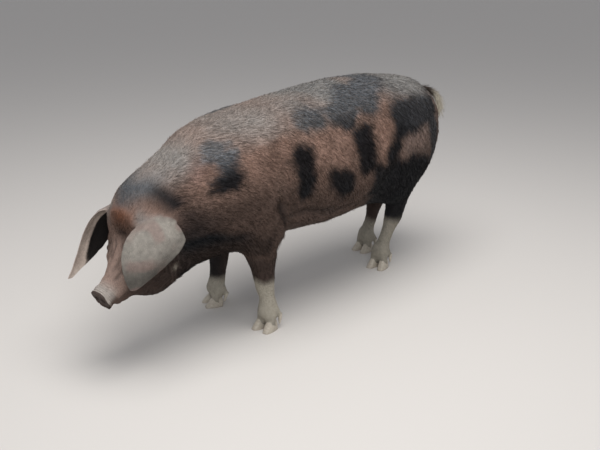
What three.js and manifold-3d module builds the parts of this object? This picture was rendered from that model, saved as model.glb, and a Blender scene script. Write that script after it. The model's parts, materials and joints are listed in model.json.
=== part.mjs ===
// A large lop-eared pig standing with its head lowered.
// Millimetres, +Z up. The pig faces -Y and its left side is +X.
// The flesh is one continuous body, described by signed distances and turned into
// facets region by region, so that head, neck, trunk and legs meet in thin flat cuts.
import * as THREE from 'three';
import { mergeVertices } from 'three/addons/utils/BufferGeometryUtils.js';
import Module from 'manifold-3d';

const wasm = await Module();
wasm.setup();

// ---------------------------------------------------------------- driving dimensions
const GAP = 0.3;            // thin cut between neighbouring pieces

// Middle of each foot on the floor, how far it turns, in degrees, and how far the elbow or
// hock leans back over it.
const FEET = {
  fore_left: { x: 170, y: -400, turn: 4, lean: 0 },
  fore_right: { x: -152, y: -376, turn: -28, lean: 50 },
  hind_left: { x: 97, y: 408, turn: 8, lean: 96 },
  hind_right: { x: -90, y: 534, turn: -6, lean: 96 },
};

// Outline of the barrel at stations along the body: height of the back, height of the
// belly and half the width.
const BARREL = [
  { y: -600, top: 767, bottom: 410, half: 120 },
  { y: -500, top: 810, bottom: 360, half: 178 },
  { y: -380, top: 837, bottom: 330, half: 214 },
  { y: -200, top: 853, bottom: 312, half: 250 },
  { y: 0, top: 867, bottom: 302, half: 270 },
  { y: 220, top: 880, bottom: 304, half: 266 },
  { y: 440, top: 870, bottom: 345, half: 244 },
  { y: 610, top: 838, bottom: 430, half: 208 },
  { y: 740, top: 776, bottom: 520, half: 150 },
  { y: 805, top: 700, bottom: 600, half: 70 },
];

// Neck, measured along a line that runs down and forward from between the shoulders.
const NECK_ROOT = [0, -500, 578];
const NECK_PITCH = 22;      // degrees below the horizon
const NECK = [
  { y: -80, top: 194, bottom: -215, half: 180 },
  { y: 80, top: 226, bottom: -215, half: 170 },
  { y: 220, top: 219, bottom: -212, half: 160 },
  { y: 330, top: 200, bottom: -196, half: 142 },
  { y: 410, top: 150, bottom: -160, half: 112 },
];

// Head, measured from the middle of the snout disc back along the head's axis.
const SNOUT = [0, -1028, 266];
const HEAD_PITCH = 39;
const HEAD_YAW = 0;
const HEAD_ROLL = 0;
const DISC_RADIUS = 46;
const DISC_PITCH = 20;
const SKULL = [
  { y: 6, top: 44, bottom: -38, half: 40 },
  { y: 46, top: 42, bottom: -50, half: 41 },
  { y: 100, top: 52, bottom: -68, half: 53 },
  { y: 160, top: 73, bottom: -92, half: 71 },
  { y: 215, top: 104, bottom: -112, half: 84 },
  { y: 270, top: 140, bottom: -116, half: 90 },
  { y: 340, top: 150, bottom: -112, half: 90 },
];
const EYE = { back: 178, height: 52, radius: 13, sunk: 8 };

// ---------------------------------------------------------------- distances
const radians = THREE.MathUtils.degToRad;

// Smooth interpolation of one measure through the stations of an outline.
function measure(stations, key, y) {
  const last = stations.length - 1;
  if (y <= stations[0].y) return stations[0][key];
  if (y >= stations[last].y) return stations[last][key];
  let i = 0;
  while (stations[i + 1].y < y) i += 1;
  const slope = (k) => {
    const a = stations[Math.max(0, k - 1)];
    const b = stations[Math.min(last, k + 1)];
    return (b[key] - a[key]) / (b.y - a.y);
  };
  const span = stations[i + 1].y - stations[i].y;
  const t = (y - stations[i].y) / span;
  const rise = stations[i + 1][key] - stations[i][key];
  const bend = span * (1 - t) * slope(i) - span * t * slope(i + 1) - (1 - 2 * t) * rise;
  return stations[i][key] + t * rise + t * (1 - t) * bend;
}

// Union of two distances with a fillet about `radius` wide.
function blend(a, b, radius) {
  const h = Math.max(radius - Math.abs(a - b), 0) / radius;
  return Math.min(a, b) - h * h * radius * 0.25;
}

// A body drawn through oval sections. Local y runs along it, z is its height.
function loft(stations, squareness, toLocal) {
  const first = stations[0].y;
  const end = stations[stations.length - 1].y;
  const q = new THREE.Vector3();
  return (p) => {
    q.copy(p).applyMatrix4(toLocal);
    const y = THREE.MathUtils.clamp(q.y, first, end);
    const top = measure(stations, 'top', y);
    const bottom = measure(stations, 'bottom', y);
    const half = measure(stations, 'half', y);
    const middle = (top + bottom) / 2;
    const tall = (top - bottom) / 2;
    const u = Math.abs(q.x) / half;
    const v = Math.abs(q.z - middle) / tall;
    const r = (u ** squareness + v ** squareness) ** (1 / squareness);
    const side = (r - 1) * Math.min(half, tall);
    const past = Math.max(first - q.y, q.y - end);
    return past > 0 ? Math.hypot(Math.max(side, 0), past) : Math.max(side, past);
  };
}

// An ellipsoid of given half-sizes, turned about its centre by degrees on X, Y and Z.
function egg(at, sizes, turn = [0, 0, 0]) {
  const euler = new THREE.Euler(...turn.map(radians));
  const toLocal = new THREE.Matrix4().makeRotationFromEuler(euler).setPosition(...at).invert();
  const q = new THREE.Vector3();
  return (p) => {
    q.copy(p).applyMatrix4(toLocal);
    const r = Math.hypot(q.x / sizes[0], q.y / sizes[1], q.z / sizes[2]);
    const g = Math.hypot(q.x / sizes[0] ** 2, q.y / sizes[1] ** 2, q.z / sizes[2] ** 2);
    return r < 1e-6 ? -Math.min(...sizes) : (r * (r - 1)) / g;
  };
}

// A limb through joints [x, y, z, radius], flattened sideways by `flat`.
function limb(joints, flat = 1, fillet = 12) {
  const bones = joints.slice(1).map((b, i) => ({ a: joints[i], b }));
  return (p) => {
    let distance = Infinity;
    for (const { a, b } of bones) {
      const d = [b[0] - a[0], b[1] - a[1], b[2] - a[2]];
      const e = [p.x - a[0], p.y - a[1], p.z - a[2]];
      const along = (d[0] * e[0] + d[1] * e[1] + d[2] * e[2]) / (d[0] ** 2 + d[1] ** 2 + d[2] ** 2);
      const t = THREE.MathUtils.clamp(along, 0, 1);
      const x = (e[0] - t * d[0]) / flat;
      const radius = a[3] + t * (b[3] - a[3]);
      const bone = Math.hypot(x, e[1] - t * d[1], e[2] - t * d[2]) - radius;
      distance = distance === Infinity ? bone : blend(distance, bone, fillet);
    }
    return distance;
  };
}

// ---------------------------------------------------------------- local frames
// A frame whose +y runs back from `at`, pitched so that -y points down by `pitch`.
function frame(at, pitch, yaw = 0, roll = 0) {
  const turn = new THREE.Matrix4().makeRotationZ(radians(yaw));
  turn.multiply(new THREE.Matrix4().makeRotationX(radians(pitch)));
  turn.multiply(new THREE.Matrix4().makeRotationY(radians(roll)));
  return turn.setPosition(...at);
}

const headFrame = frame(SNOUT, HEAD_PITCH, HEAD_YAW, HEAD_ROLL);
const neckFrame = frame(NECK_ROOT, NECK_PITCH).multiply(new THREE.Matrix4().makeScale(1, -1, 1));
const inHead = (x, y, z) => new THREE.Vector3(x, y, z).applyMatrix4(headFrame).toArray();

// ---------------------------------------------------------------- flesh
const barrel = loft(BARREL, 2.25, new THREE.Matrix4());
const neck = loft(NECK, 2.2, neckFrame.clone().invert());
const skull = loft(SKULL, 2.6, headFrame.clone().invert());

const trunkMasses = [
  { shape: egg([0, 590, 628], [200, 206, 208]), fillet: 60 },               // rump
  { shape: egg([0, -540, 450], [140, 110, 110], [20, 0, 0]), fillet: 80 },  // brisket
  { shape: egg([0, 120, 318], [46, 100, 40]), fillet: 40 },                 // sheath
];

// The masses of one side and the leg below each, standing over its own foot.
function sideMasses(side) {
  const s = side === 'left' ? 1 : -1;
  const fore = FEET[`fore_${side}`];
  const hind = FEET[`hind_${side}`];
  const masses = [
    { shape: egg([s * 148, -405, 570], [92, 140, 225], [-12, s * 8, 0]), fillet: 70 },     // shoulder
    { shape: egg([s * 163, fore.y - 12, 405], [64, 76, 100], [8, 0, 0]), fillet: 50 },     // upper arm
    { shape: egg([s * 122, hind.y * 0.35 + 375, 545], [112, 190, 205], [-18, 0, 0]), fillet: 70 }, // ham
    { shape: egg([s * 150, hind.y * 0.6 + 140, 430], [80, 95, 120], [20, 0, 0]), fillet: 60 },     // stifle
  ];
  const foreLeg = limb([
    [s * 160, fore.y - 6 + fore.lean, 390, 72],
    [s * 158, fore.y - 8 + fore.lean, 300, 58],
    [(s * 158 + fore.x) / 2, fore.y + 2 + fore.lean * 0.65, 190, 42],
    [fore.x, fore.y + 10 + fore.lean * 0.2, 112, 34],
    [fore.x, fore.y + 4, 74, 37],
  ], 0.92);
  const hindLeg = limb([
    [s * 132, hind.y + hind.lean - 34, 430, 96],
    [s * 119, hind.y + hind.lean, 330, 60],
    [(s * 110 + hind.x) / 2, hind.y + hind.lean - 4, 230, 46],
    [hind.x, hind.y + 50, 145, 31],
    [hind.x, hind.y + 12, 78, 35],
  ], 0.86);
  return { masses, foreLeg, hindLeg };
}

const left = sideMasses('left');
const right = sideMasses('right');

const jowls = egg(inHead(0, 200, -80), [108, 104, 82], [HEAD_PITCH, 0, HEAD_YAW]);
const cheeks = [1, -1].map((s) => egg(inHead(s * 66, 205, -20), [52, 80, 70], [HEAD_PITCH, 0, HEAD_YAW]));
const chin = egg(inHead(0, 74, -50), [32, 46, 30], [HEAD_PITCH, 0, HEAD_YAW]);
const disc = egg(inHead(0, 6, 2), [DISC_RADIUS + 2, 17, DISC_RADIUS], [DISC_PITCH, 0, HEAD_YAW]);

// Two toes, one over each main claw, and the pads that carry the dewclaws.
function toes({ x, y, turn }) {
  const pose = new THREE.Matrix4().makeRotationZ(radians(turn)).setPosition(x, y, 0);
  const shapes = [];
  for (const s of [1, -1]) {
    const from = new THREE.Vector3(s * 13, 12, 88).applyMatrix4(pose);
    const to = new THREE.Vector3(s * 22, 3, 46).applyMatrix4(pose);
    shapes.push(limb([[...from.toArray(), 27], [...to.toArray(), 22]]));
    shapes.push(egg(new THREE.Vector3(s * 27, 36, 66).applyMatrix4(pose).toArray(), [15, 18, 22]));
  }
  return shapes;
}
const feet = Object.values(FEET).flatMap(toes);

function flesh(p) {
  let d = barrel(p);
  for (const { shape, fillet } of trunkMasses) d = blend(d, shape(p), fillet);
  for (const half of [left, right]) {
    for (const { shape, fillet } of half.masses) d = blend(d, shape(p), fillet);
    d = blend(d, half.foreLeg(p), 50);
    d = blend(d, half.hindLeg(p), 50);
  }
  d = blend(d, neck(p), 90);
  if (p.z < 140) for (const toe of feet) d = blend(d, toe(p), 12);
  if (p.y > -650) return d;
  let h = blend(skull(p), jowls(p), 50);
  for (const cheek of cheeks) h = blend(h, cheek(p), 40);
  h = blend(h, chin(p), 16);
  h = blend(h, disc(p), 10);
  return blend(d, h, 60);
}

// ---------------------------------------------------------------- facets
// A grid cell has eight corners, numbered by the bits x = 1, y = 2 and z = 4.
const BITS = [1, 2, 4];
const EDGES = [];
for (let a = 0; a < 8; a += 1) {
  for (const bit of BITS) if (!(a & bit)) EDGES.push([a, a | bit]);
}
const edgeNumber = (a, b) => EDGES.findIndex(([m, n]) => m === Math.min(a, b) && n === Math.max(a, b));
const FACES = BITS.flatMap((bit) => {
  const [p, q] = BITS.filter((other) => other !== bit);
  return [0, bit].map((side) => {
    const corners = [side, side | p, side | p | q, side | q];
    return { corners, edges: corners.map((c, n) => edgeNumber(c, corners[(n + 1) % 4])) };
  });
});

// Sorts the edges of one cell that the surface crosses into the sheets they belong to.
function sheetsOf(v) {
  const crossed = EDGES.map(([a, b]) => (v[a] < 0) !== (v[b] < 0));
  const parent = EDGES.map((_, e) => e);
  const root = (e) => (parent[e] === e ? e : root(parent[e]));
  const join = (e, f) => { parent[root(e)] = root(f); };
  for (const { corners, edges } of FACES) {
    const cut = edges.filter((e) => crossed[e]);
    if (cut.length === 2) join(cut[0], cut[1]);
    if (cut.length === 4) {
      corners.forEach((c, n) => { if (v[c] < 0) join(edges[(n + 3) % 4], edges[n]); });
    }
  }
  const sheets = new Map();
  crossed.forEach((yes, e) => {
    if (yes) sheets.set(root(e), [...(sheets.get(root(e)) ?? []), e]);
  });
  return [...sheets.values()];
}

// Moves a point onto the zero surface of `field`, staying within `reach` of its start.
function settle(field, point, reach) {
  const low = point.clone().subScalar(reach);
  const high = point.clone().addScalar(reach);
  const step = 0.5;
  const probe = new THREE.Vector3();
  const slope = new THREE.Vector3();
  for (let pass = 0; pass < 3; pass += 1) {
    const d = field(point);
    for (const axis of ['x', 'y', 'z']) {
      probe.copy(point)[axis] += step;
      slope[axis] = (field(probe) - d) / step;
    }
    point.addScaledVector(slope, -d / Math.max(slope.lengthSq(), 0.05)).clamp(low, high);
  }
  return point;
}

// Facets of the zero surface of `field` inside a box, on a grid of `cell` millimetres:
// one corner for each sheet of surface that passes through a grid cell.
function facet(field, low, high, cell) {
  const size = low.map((l, k) => Math.ceil((high[k] - l) / cell) + 3);
  const number = (i, j, k) => (i * size[1] + j) * size[2] + k;
  const place = (i, j, k) => new THREE.Vector3(
    low[0] + (i - 1.5) * cell,
    low[1] + (j - 1.5) * cell,
    low[2] + (k - 1.5) * cell,
  );
  const walled = (q) => Math.max(
    field(q),
    low[0] - q.x, q.x - high[0],
    low[1] - q.y, q.y - high[1],
    low[2] - q.z, q.z - high[2],
  );
  const value = new Float64Array(size[0] * size[1] * size[2]);
  const everyCell = (from, visit) => {
    for (let i = from; i < size[0] - 1 + (from === 0); i += 1) {
      for (let j = from; j < size[1] - 1 + (from === 0); j += 1) {
        for (let k = from; k < size[2] - 1 + (from === 0); k += 1) visit(i, j, k);
      }
    }
  };
  everyCell(0, (i, j, k) => { value[number(i, j, k)] = walled(place(i, j, k)); });

  const points = [];
  const pointOf = new Map();
  everyCell(0, (i, j, k) => {
    if (i === size[0] - 1 || j === size[1] - 1 || k === size[2] - 1) return;
    const v = Array.from({ length: 8 }, (_, c) => value[number(i + (c & 1), j + ((c >> 1) & 1), k + (c >> 2))]);
    for (const sheet of sheetsOf(v)) {
      const point = new THREE.Vector3();
      for (const e of sheet) {
        const [a, b] = EDGES[e];
        const t = v[a] / (v[a] - v[b]);
        const from = new THREE.Vector3(a & 1, (a >> 1) & 1, a >> 2);
        const to = new THREE.Vector3(b & 1, (b >> 1) & 1, b >> 2);
        point.addScaledVector(from.lerp(to, t), cell / sheet.length);
        pointOf.set(number(i, j, k) * 12 + e, points.length);
      }
      points.push(settle(walled, point.add(place(i, j, k)), cell * 0.45));
    }
  });

  // Each crossed grid edge has a four-sided facet through the cells around it.
  const index = [];
  everyCell(1, (i, j, k) => {
    const inside = value[number(i, j, k)] < 0;
    for (const [axis, p, q] of [[0, 1, 2], [1, 2, 0], [2, 0, 1]]) {
      const next = [i, j, k];
      next[axis] += 1;
      if (inside === value[number(...next)] < 0) continue;
      const ring = [[0, 0], [1, 0], [1, 1], [0, 1]].map(([a, b]) => {
        const at = [i, j, k];
        at[p] -= a;
        at[q] -= b;
        const corner = a * BITS[p] + b * BITS[q];
        return pointOf.get(number(...at) * 12 + edgeNumber(corner, corner | BITS[axis]));
      });
      if (!inside) ring.reverse();
      const [a, b, c, d] = ring;
      const across = points[a].distanceTo(points[c]) < points[b].distanceTo(points[d]);
      index.push(...(across ? [a, b, c, a, c, d] : [b, c, d, b, d, a]));
    }
  });
  return new THREE.BufferGeometry().setFromPoints(points).setIndex(index);
}

// ---------------------------------------------------------------- solids
function solid(geometry) {
  const plain = geometry.clone();
  plain.deleteAttribute('normal');
  plain.deleteAttribute('uv');
  const merged = mergeVertices(plain, 1e-4);
  const vertProperties = new Float32Array(merged.attributes.position.array);
  const triVerts = new Uint32Array(merged.index.array);
  return new wasm.Manifold(new wasm.Mesh({ numProp: 3, vertProperties, triVerts }));
}

function geometryOf(manifold) {
  const { vertProperties, triVerts } = manifold.getMesh();
  const geometry = new THREE.BufferGeometry();
  geometry.setAttribute('position', new THREE.BufferAttribute(vertProperties, 3));
  geometry.setIndex(new THREE.BufferAttribute(triVerts, 1));
  return geometry;
}

// The same surface, moved outwards by the width of a cut.
function swollen(geometry) {
  const merged = geometryOf(solid(geometry));
  merged.computeVertexNormals();
  const { position, normal } = merged.attributes;
  for (let i = 0; i < position.count; i += 1) {
    position.setXYZ(i,
      position.getX(i) + GAP * normal.getX(i),
      position.getY(i) + GAP * normal.getY(i),
      position.getZ(i) + GAP * normal.getZ(i));
  }
  return solid(merged);
}

// A closed body through rings of points, with both ends capped.
function ringLoft(rings) {
  const count = rings[0].length;
  const points = rings.flat();
  const index = [];
  for (let r = 0; r < rings.length - 1; r += 1) {
    for (let i = 0; i < count; i += 1) {
      const a = r * count + i;
      const b = r * count + ((i + 1) % count);
      index.push(a, b, b + count, a, b + count, a + count);
    }
  }
  for (const end of [0, rings.length - 1]) {
    const middle = new THREE.Vector3();
    rings[end].forEach((q) => middle.addScaledVector(q, 1 / count));
    const hub = points.push(middle) - 1;
    for (let i = 0; i < count; i += 1) {
      const a = end * count + i;
      const b = end * count + ((i + 1) % count);
      if (end === 0) index.push(hub, b, a);
      else index.push(hub, a, b);
    }
  }
  return new THREE.BufferGeometry().setFromPoints(points).setIndex(index);
}

// ---------------------------------------------------------------- cuts
const FAR = 2000;
const NECK_CUT = { y: -530, z: 560, pitch: -6 };
const HEAD_CUT = { y: -792, z: 450, pitch: 0 };
const SNOUT_CUT = 40;                 // behind the disc, along the head
const FORE_CUT = { inner: 80, front: -500, back: -260, top: 304, pitch: 0 };
const HIND_CUT = { inner: 0, front: 330, back: 1000, top: 352, pitch: 26 };
const FOOT_CUT = 108;                 // height of the cut through the fetlock
const HOCK_CUT = 296;                 // height of the cut above the hock

// Everything in front of a cross-section of the body, less half a gap.
function aheadOf({ y, z, pitch }, gap) {
  const box = new THREE.BoxGeometry(FAR, FAR, FAR);
  box.translate(0, -FAR / 2 - gap / 2, 0);
  box.rotateX(radians(pitch));
  box.translate(0, y, z);
  return solid(box);
}

// Everything below the cut between the trunk and one leg, widened by `gap`.
function legBlock(name, gap) {
  const s = name.endsWith('left') ? 1 : -1;
  const fore = name.startsWith('fore');
  const { inner, front, back, top, pitch } = fore ? FORE_CUT : HIND_CUT;
  const near = s * (inner + GAP / 2 - gap);
  const box = new THREE.BoxGeometry(FAR, back - front + 2 * gap, FAR);
  box.translate(near + s * FAR / 2, (front + back) / 2, 0);
  const under = new THREE.BoxGeometry(2 * FAR, 2 * FAR, FAR);
  under.translate(0, 0, gap - FAR / 2);
  under.rotateX(radians(pitch));
  under.translate(0, front, top);
  return solid(box).intersect(solid(under));
}

// Everything below a level cut, less half a gap.
function below(height, gap) {
  const box = new THREE.BoxGeometry(FAR, 2 * FAR, FAR);
  box.translate(0, 0, height - gap / 2 - FAR / 2);
  return solid(box);
}

// ---------------------------------------------------------------- ears
const EAR_ROWS = 8;
const EAR_COLUMNS = 6;
const EARS = {
  left: {
    leading: [[70, 290, 112], [84, 250, 140], [90, 195, 152], [100, 128, 128], [121, 82, 78], [131, 66, 34]],
    trailing: [[84, 335, 104], [128, 344, 96], [180, 326, 13], [184, 262, 2], [171, 168, 17], [140, 82, 21]],
  },
  right: {
    leading: [[-66, 290, 112], [-90, 262, 161], [-131, 218, 151], [-152, 148, 116], [-147, 64, 76], [-139, 8, 64]],
    trailing: [[-80, 335, 100], [-122, 330, 80], [-160, 262, 20], [-163, 170, 8], [-151, 90, 36], [-143, 22, 50]],
  },
};

// A hanging ear: a curved leaf between its leading and trailing margins, thick at the
// root and thin at the rim, bulging away from the cheek.
function ear(side) {
  const s = side === 'left' ? 1 : -1;
  const curve = (points) => new THREE.CatmullRomCurve3(points.map((q) => new THREE.Vector3(...q)));
  const lead = curve(EARS[side].leading);
  const trail = curve(EARS[side].trailing);
  const outward = new THREE.Vector3(s * 0.82, 0, 0.57);
  const rings = [];
  for (let row = 0; row < EAR_ROWS; row += 1) {
    const u = row / (EAR_ROWS - 1);
    const a = lead.getPoint(u);
    const b = trail.getPoint(u);
    const bulge = 0.16 * a.distanceTo(b);
    const core = 5 + 20 * (1 - u) ** 3;
    const outer = [];
    const inner = [];
    for (let column = 0; column < EAR_COLUMNS; column += 1) {
      const v = column / (EAR_COLUMNS - 1);
      const arch = 4 * v * (1 - v);
      const q = a.clone().lerp(b, v).addScaledVector(outward, bulge * arch);
      const thick = 3 + (core - 3) * arch;
      outer.push(q.clone().addScaledVector(outward, thick / 2));
      inner.unshift(q.addScaledVector(outward, -thick / 2));
    }
    const ring = [...outer, ...inner].map((q) => q.applyMatrix4(headFrame));
    rings.push(s > 0 ? ring.reverse() : ring);
  }
  return ringLoft(rings);
}

// ---------------------------------------------------------------- hooves
const SOLE_POINTS = 6;

// A main claw: flat sole on the floor, rounded wall, tip forward.
function claw(length, width, height) {
  const rings = [];
  for (const s of [0, 0.18, 0.4, 0.7, 0.93, 1]) {
    const half = (width / 2) * Math.sqrt(Math.max(1 - ((s - 0.35) / 0.72) ** 2, 0)) + 1.2;
    const tall = height * Math.min(0.7 + s, 1) * (1 - 0.92 * Math.max(s - 0.4, 0) / 0.6);
    const ring = [];
    for (let i = 0; i < SOLE_POINTS; i += 1) {
      const angle = (Math.PI * i) / (SOLE_POINTS - 1);
      ring.push(new THREE.Vector3(half * Math.cos(angle), length * (0.38 - s), tall * Math.sin(angle) ** 0.8));
    }
    rings.push(ring);
  }
  return ringLoft(rings);
}

// A dewclaw: a blunt horn cone that hangs just clear of the floor behind the foot.
function dewclaw(length, width) {
  const rings = [];
  for (const s of [0, 0.45, 0.85, 1]) {
    const radius = (width / 2) * (1 - 0.8 * s ** 2.2);
    const ring = [];
    for (let i = 0; i < SOLE_POINTS; i += 1) {
      const angle = (2 * Math.PI * i) / SOLE_POINTS;
      ring.push(new THREE.Vector3(radius * Math.cos(angle), 0.8 * radius * Math.sin(angle), -length * s));
    }
    rings.push(ring.reverse());
  }
  return ringLoft(rings);
}

function hooves(name, foot) {
  const pieces = [];
  const pose = new THREE.Matrix4().makeRotationZ(radians(foot.turn)).setPosition(foot.x, foot.y, 0);
  const outerSign = name.endsWith('left') ? 1 : -1;
  for (const s of [1, -1]) {
    const where = s === outerSign ? 'outer' : 'inner';
    const main = claw(74, 40, 58);
    main.rotateZ(radians(s * 9));
    main.translate(s * 23, 0, 0);
    main.applyMatrix4(pose);
    pieces.push({ name: `hoof_${name}_${where}`, geometry: main });
    const small = dewclaw(42, 22);
    small.rotateX(radians(-24));
    small.rotateY(radians(s * -16));
    small.translate(s * 33, 46, 58);
    small.applyMatrix4(pose);
    pieces.push({ name: `dewclaw_${name}_${where}`, geometry: small });
  }
  return pieces;
}

// ---------------------------------------------------------------- tail
function tail() {
  const path = new THREE.CatmullRomCurve3([
    [0, 700, 732], [2, 786, 748], [28, 832, 752], [62, 856, 726], [86, 852, 690], [94, 844, 656],
  ].map((q) => new THREE.Vector3(...q)));
  const rows = 9;
  const frames = path.computeFrenetFrames(rows, false);
  const rings = [];
  for (let row = 0; row <= rows; row += 1) {
    const u = row / rows;
    const radius = 28 - 18 * Math.sqrt(u);
    const centre = path.getPointAt(u);
    const ring = [];
    for (let i = 0; i < 6; i += 1) {
      const angle = (2 * Math.PI * i) / 6;
      ring.push(centre.clone()
        .addScaledVector(frames.normals[row], radius * Math.cos(angle))
        .addScaledVector(frames.binormals[row], radius * Math.sin(angle)));
    }
    rings.push(ring);
  }
  return ringLoft(rings);
}

// ---------------------------------------------------------------- pieces
const HIDE = { color: '#6b5248', roughness: 0.92 };
const SKIN = { color: '#a58f85', roughness: 0.8 };
const HORN = { color: '#b9ab95', roughness: 0.55 };
const WET = { color: '#1a120e', roughness: 0.12 };
const pig = new THREE.Group();

// Width of the facets: wide on the smooth barrel, narrow where the form is fine.
const TRUNK_CELL = 70;
const NECK_CELL = 54;
const HAM_CELL = 46;
const LEG_CELL = 28;
const HEAD_CELL = 22.5;
const FOOT_CELL = 21;
const SNOUT_CELL = 14;

function piece(name, manifold, look) {
  const mesh = new THREE.Mesh(geometryOf(manifold), new THREE.MeshStandardMaterial(look));
  mesh.name = name;
  pig.add(mesh);
}

const horn = Object.entries(FEET).flatMap(([name, foot]) => hooves(name, foot));
for (const { name, geometry } of horn) piece(name, solid(geometry), HORN);

let trunk = solid(facet(flesh, [-330, -640, 280], [330, 880, 900], TRUNK_CELL));
trunk = trunk.subtract(aheadOf(NECK_CUT, -GAP));
for (const [name, { x, y }] of Object.entries(FEET)) {
  trunk = trunk.subtract(legBlock(name, GAP));
  const fore = name.startsWith('fore');
  const side = name.slice(5);
  const shank = solid(facet(flesh, [x - 160, y - 160, 60], [x + 160, y + 220, fore ? 380 : 360], LEG_CELL));
  const upper = fore ? legBlock(name, 0) : legBlock(name, 0).intersect(below(HOCK_CUT, GAP));
  piece(`leg_${name}`, shank.intersect(upper).subtract(below(FOOT_CUT, -GAP)), HIDE);
  if (!fore) {
    const thigh = solid(facet(flesh, [x - 190, y - 180, 260], [x + 190, y + 480, 680], HAM_CELL));
    piece(`ham_${side}`, thigh.intersect(legBlock(name, 0)).subtract(below(HOCK_CUT, -GAP)), HIDE);
  }
  let foot = solid(facet(flesh, [x - 90, y - 100, 5], [x + 90, y + 100, 150], FOOT_CELL));
  foot = foot.intersect(below(FOOT_CUT, GAP));
  for (const { name: hornName, geometry } of horn) {
    if (hornName.includes(name)) foot = foot.subtract(swollen(geometry));
  }
  piece(`foot_${name}`, foot, SKIN);
}

const necks = solid(facet(flesh, [-260, -840, 200], [260, -420, 880], NECK_CELL));
piece('neck', necks.intersect(aheadOf(NECK_CUT, GAP)).subtract(aheadOf(HEAD_CUT, -GAP)), HIDE);

// The middle of an eyeball, sunk behind the surface of the face.
function eyeCentre(s) {
  let across = 120;
  while (flesh(new THREE.Vector3(...inHead(s * across, EYE.back, EYE.height))) > 0) across -= 0.5;
  return inHead(s * (across - EYE.sunk), EYE.back, EYE.height - EYE.sunk / 2);
}

const snoutFrame = headFrame.clone().multiply(new THREE.Matrix4().makeTranslation(0, SNOUT_CUT, 0));
function snoutBlock(gap) {
  const box = new THREE.BoxGeometry(FAR, 400, FAR);
  box.translate(0, -200 - gap / 2, 0);
  box.applyMatrix4(snoutFrame);
  return solid(box);
}

const heads = solid(facet(flesh, [-200, -1100, 180], [200, -740, 720], HEAD_CELL));
let head = heads.intersect(aheadOf(HEAD_CUT, GAP)).subtract(snoutBlock(-GAP));
for (const side of ['left', 'right']) {
  const s = side === 'left' ? 1 : -1;
  const at = eyeCentre(s);
  const eye = new THREE.SphereGeometry(EYE.radius, 8, 6);
  const socket = new THREE.SphereGeometry(EYE.radius + GAP, 8, 6);
  head = head.subtract(solid(socket.translate(...at)));
  piece(`eye_${side}`, solid(eye.translate(...at)), WET);
}
piece('head', head, HIDE);
for (const side of ['left', 'right']) {
  piece(`ear_${side}`, solid(ear(side)).subtract(swollen(geometryOf(head))), SKIN);
}

const snouts = solid(facet(flesh, [-80, -1120, 160], [80, -920, 370], SNOUT_CELL));
piece('snout', snouts.intersect(snoutBlock(GAP)), SKIN);

piece('trunk', trunk, HIDE);
piece('tail', solid(tail()).subtract(swollen(geometryOf(trunk))), HIDE);

// Stand the pig with the middle of its footprint at the origin.
const middle = new THREE.Box3().setFromObject(pig).getCenter(new THREE.Vector3());
for (const mesh of pig.children) mesh.geometry.translate(-middle.x, -middle.y, 0);

export default pig;
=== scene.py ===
import json
import math

import bmesh
import bpy
import numpy as np
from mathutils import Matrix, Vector
from mathutils.bvhtree import BVHTree

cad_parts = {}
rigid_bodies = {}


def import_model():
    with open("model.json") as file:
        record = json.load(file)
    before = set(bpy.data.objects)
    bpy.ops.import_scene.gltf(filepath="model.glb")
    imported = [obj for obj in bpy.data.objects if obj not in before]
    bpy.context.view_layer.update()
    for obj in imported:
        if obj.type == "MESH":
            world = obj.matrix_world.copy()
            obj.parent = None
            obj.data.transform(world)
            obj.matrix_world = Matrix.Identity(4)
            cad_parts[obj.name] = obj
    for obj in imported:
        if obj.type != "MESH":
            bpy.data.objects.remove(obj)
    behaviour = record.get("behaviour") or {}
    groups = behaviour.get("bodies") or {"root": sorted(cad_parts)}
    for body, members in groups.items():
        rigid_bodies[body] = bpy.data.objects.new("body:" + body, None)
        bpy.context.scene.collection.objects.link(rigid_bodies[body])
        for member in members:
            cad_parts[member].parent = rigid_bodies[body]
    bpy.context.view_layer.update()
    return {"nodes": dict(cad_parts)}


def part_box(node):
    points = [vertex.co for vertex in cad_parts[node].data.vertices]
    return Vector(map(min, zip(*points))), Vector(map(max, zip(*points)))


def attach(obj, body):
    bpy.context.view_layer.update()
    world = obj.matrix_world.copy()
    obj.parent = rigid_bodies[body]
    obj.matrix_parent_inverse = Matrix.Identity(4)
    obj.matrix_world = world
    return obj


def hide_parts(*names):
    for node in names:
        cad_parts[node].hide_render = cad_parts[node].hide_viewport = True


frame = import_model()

# ------------------------------------------------------------------ the view
# The pig is seen from its left front by someone standing, so the view looks a little down.
VIEW_PLACE = (2.372, -2.524, 1.5)
VIEW_HEADING = math.radians(42.34)
VIEW_DIP = math.radians(19.0)
VIEW_LENS = 53.16

lens = bpy.data.cameras.new("view")
lens.lens = VIEW_LENS
lens.sensor_width = 36
lens.clip_end = 200
view = bpy.data.objects.new("view", lens)
view.location = VIEW_PLACE
view.rotation_euler = (math.pi / 2 - VIEW_DIP, 0, VIEW_HEADING)
bpy.context.scene.collection.objects.link(view)
bpy.context.scene.camera = view

# ------------------------------------------------------------------ floor and light
# A plain pale studio floor under a broad soft light from above, with a weaker one in front.
FLOOR_REACH = 60
FLOOR_COLOUR = (0.62, 0.59, 0.56, 1)


def material(name, colour, roughness):
    made = bpy.data.materials.new(name)
    made.use_nodes = True
    shader = made.node_tree.nodes["Principled BSDF"]
    shader.inputs["Base Color"].default_value = colour
    shader.inputs["Roughness"].default_value = roughness
    return made


def shown(name, mesh, *materials):
    piece = bpy.data.objects.new(name, mesh)
    bpy.context.scene.collection.objects.link(piece)
    mesh.materials.clear()
    for each in materials:
        mesh.materials.append(each)
    return piece


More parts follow.
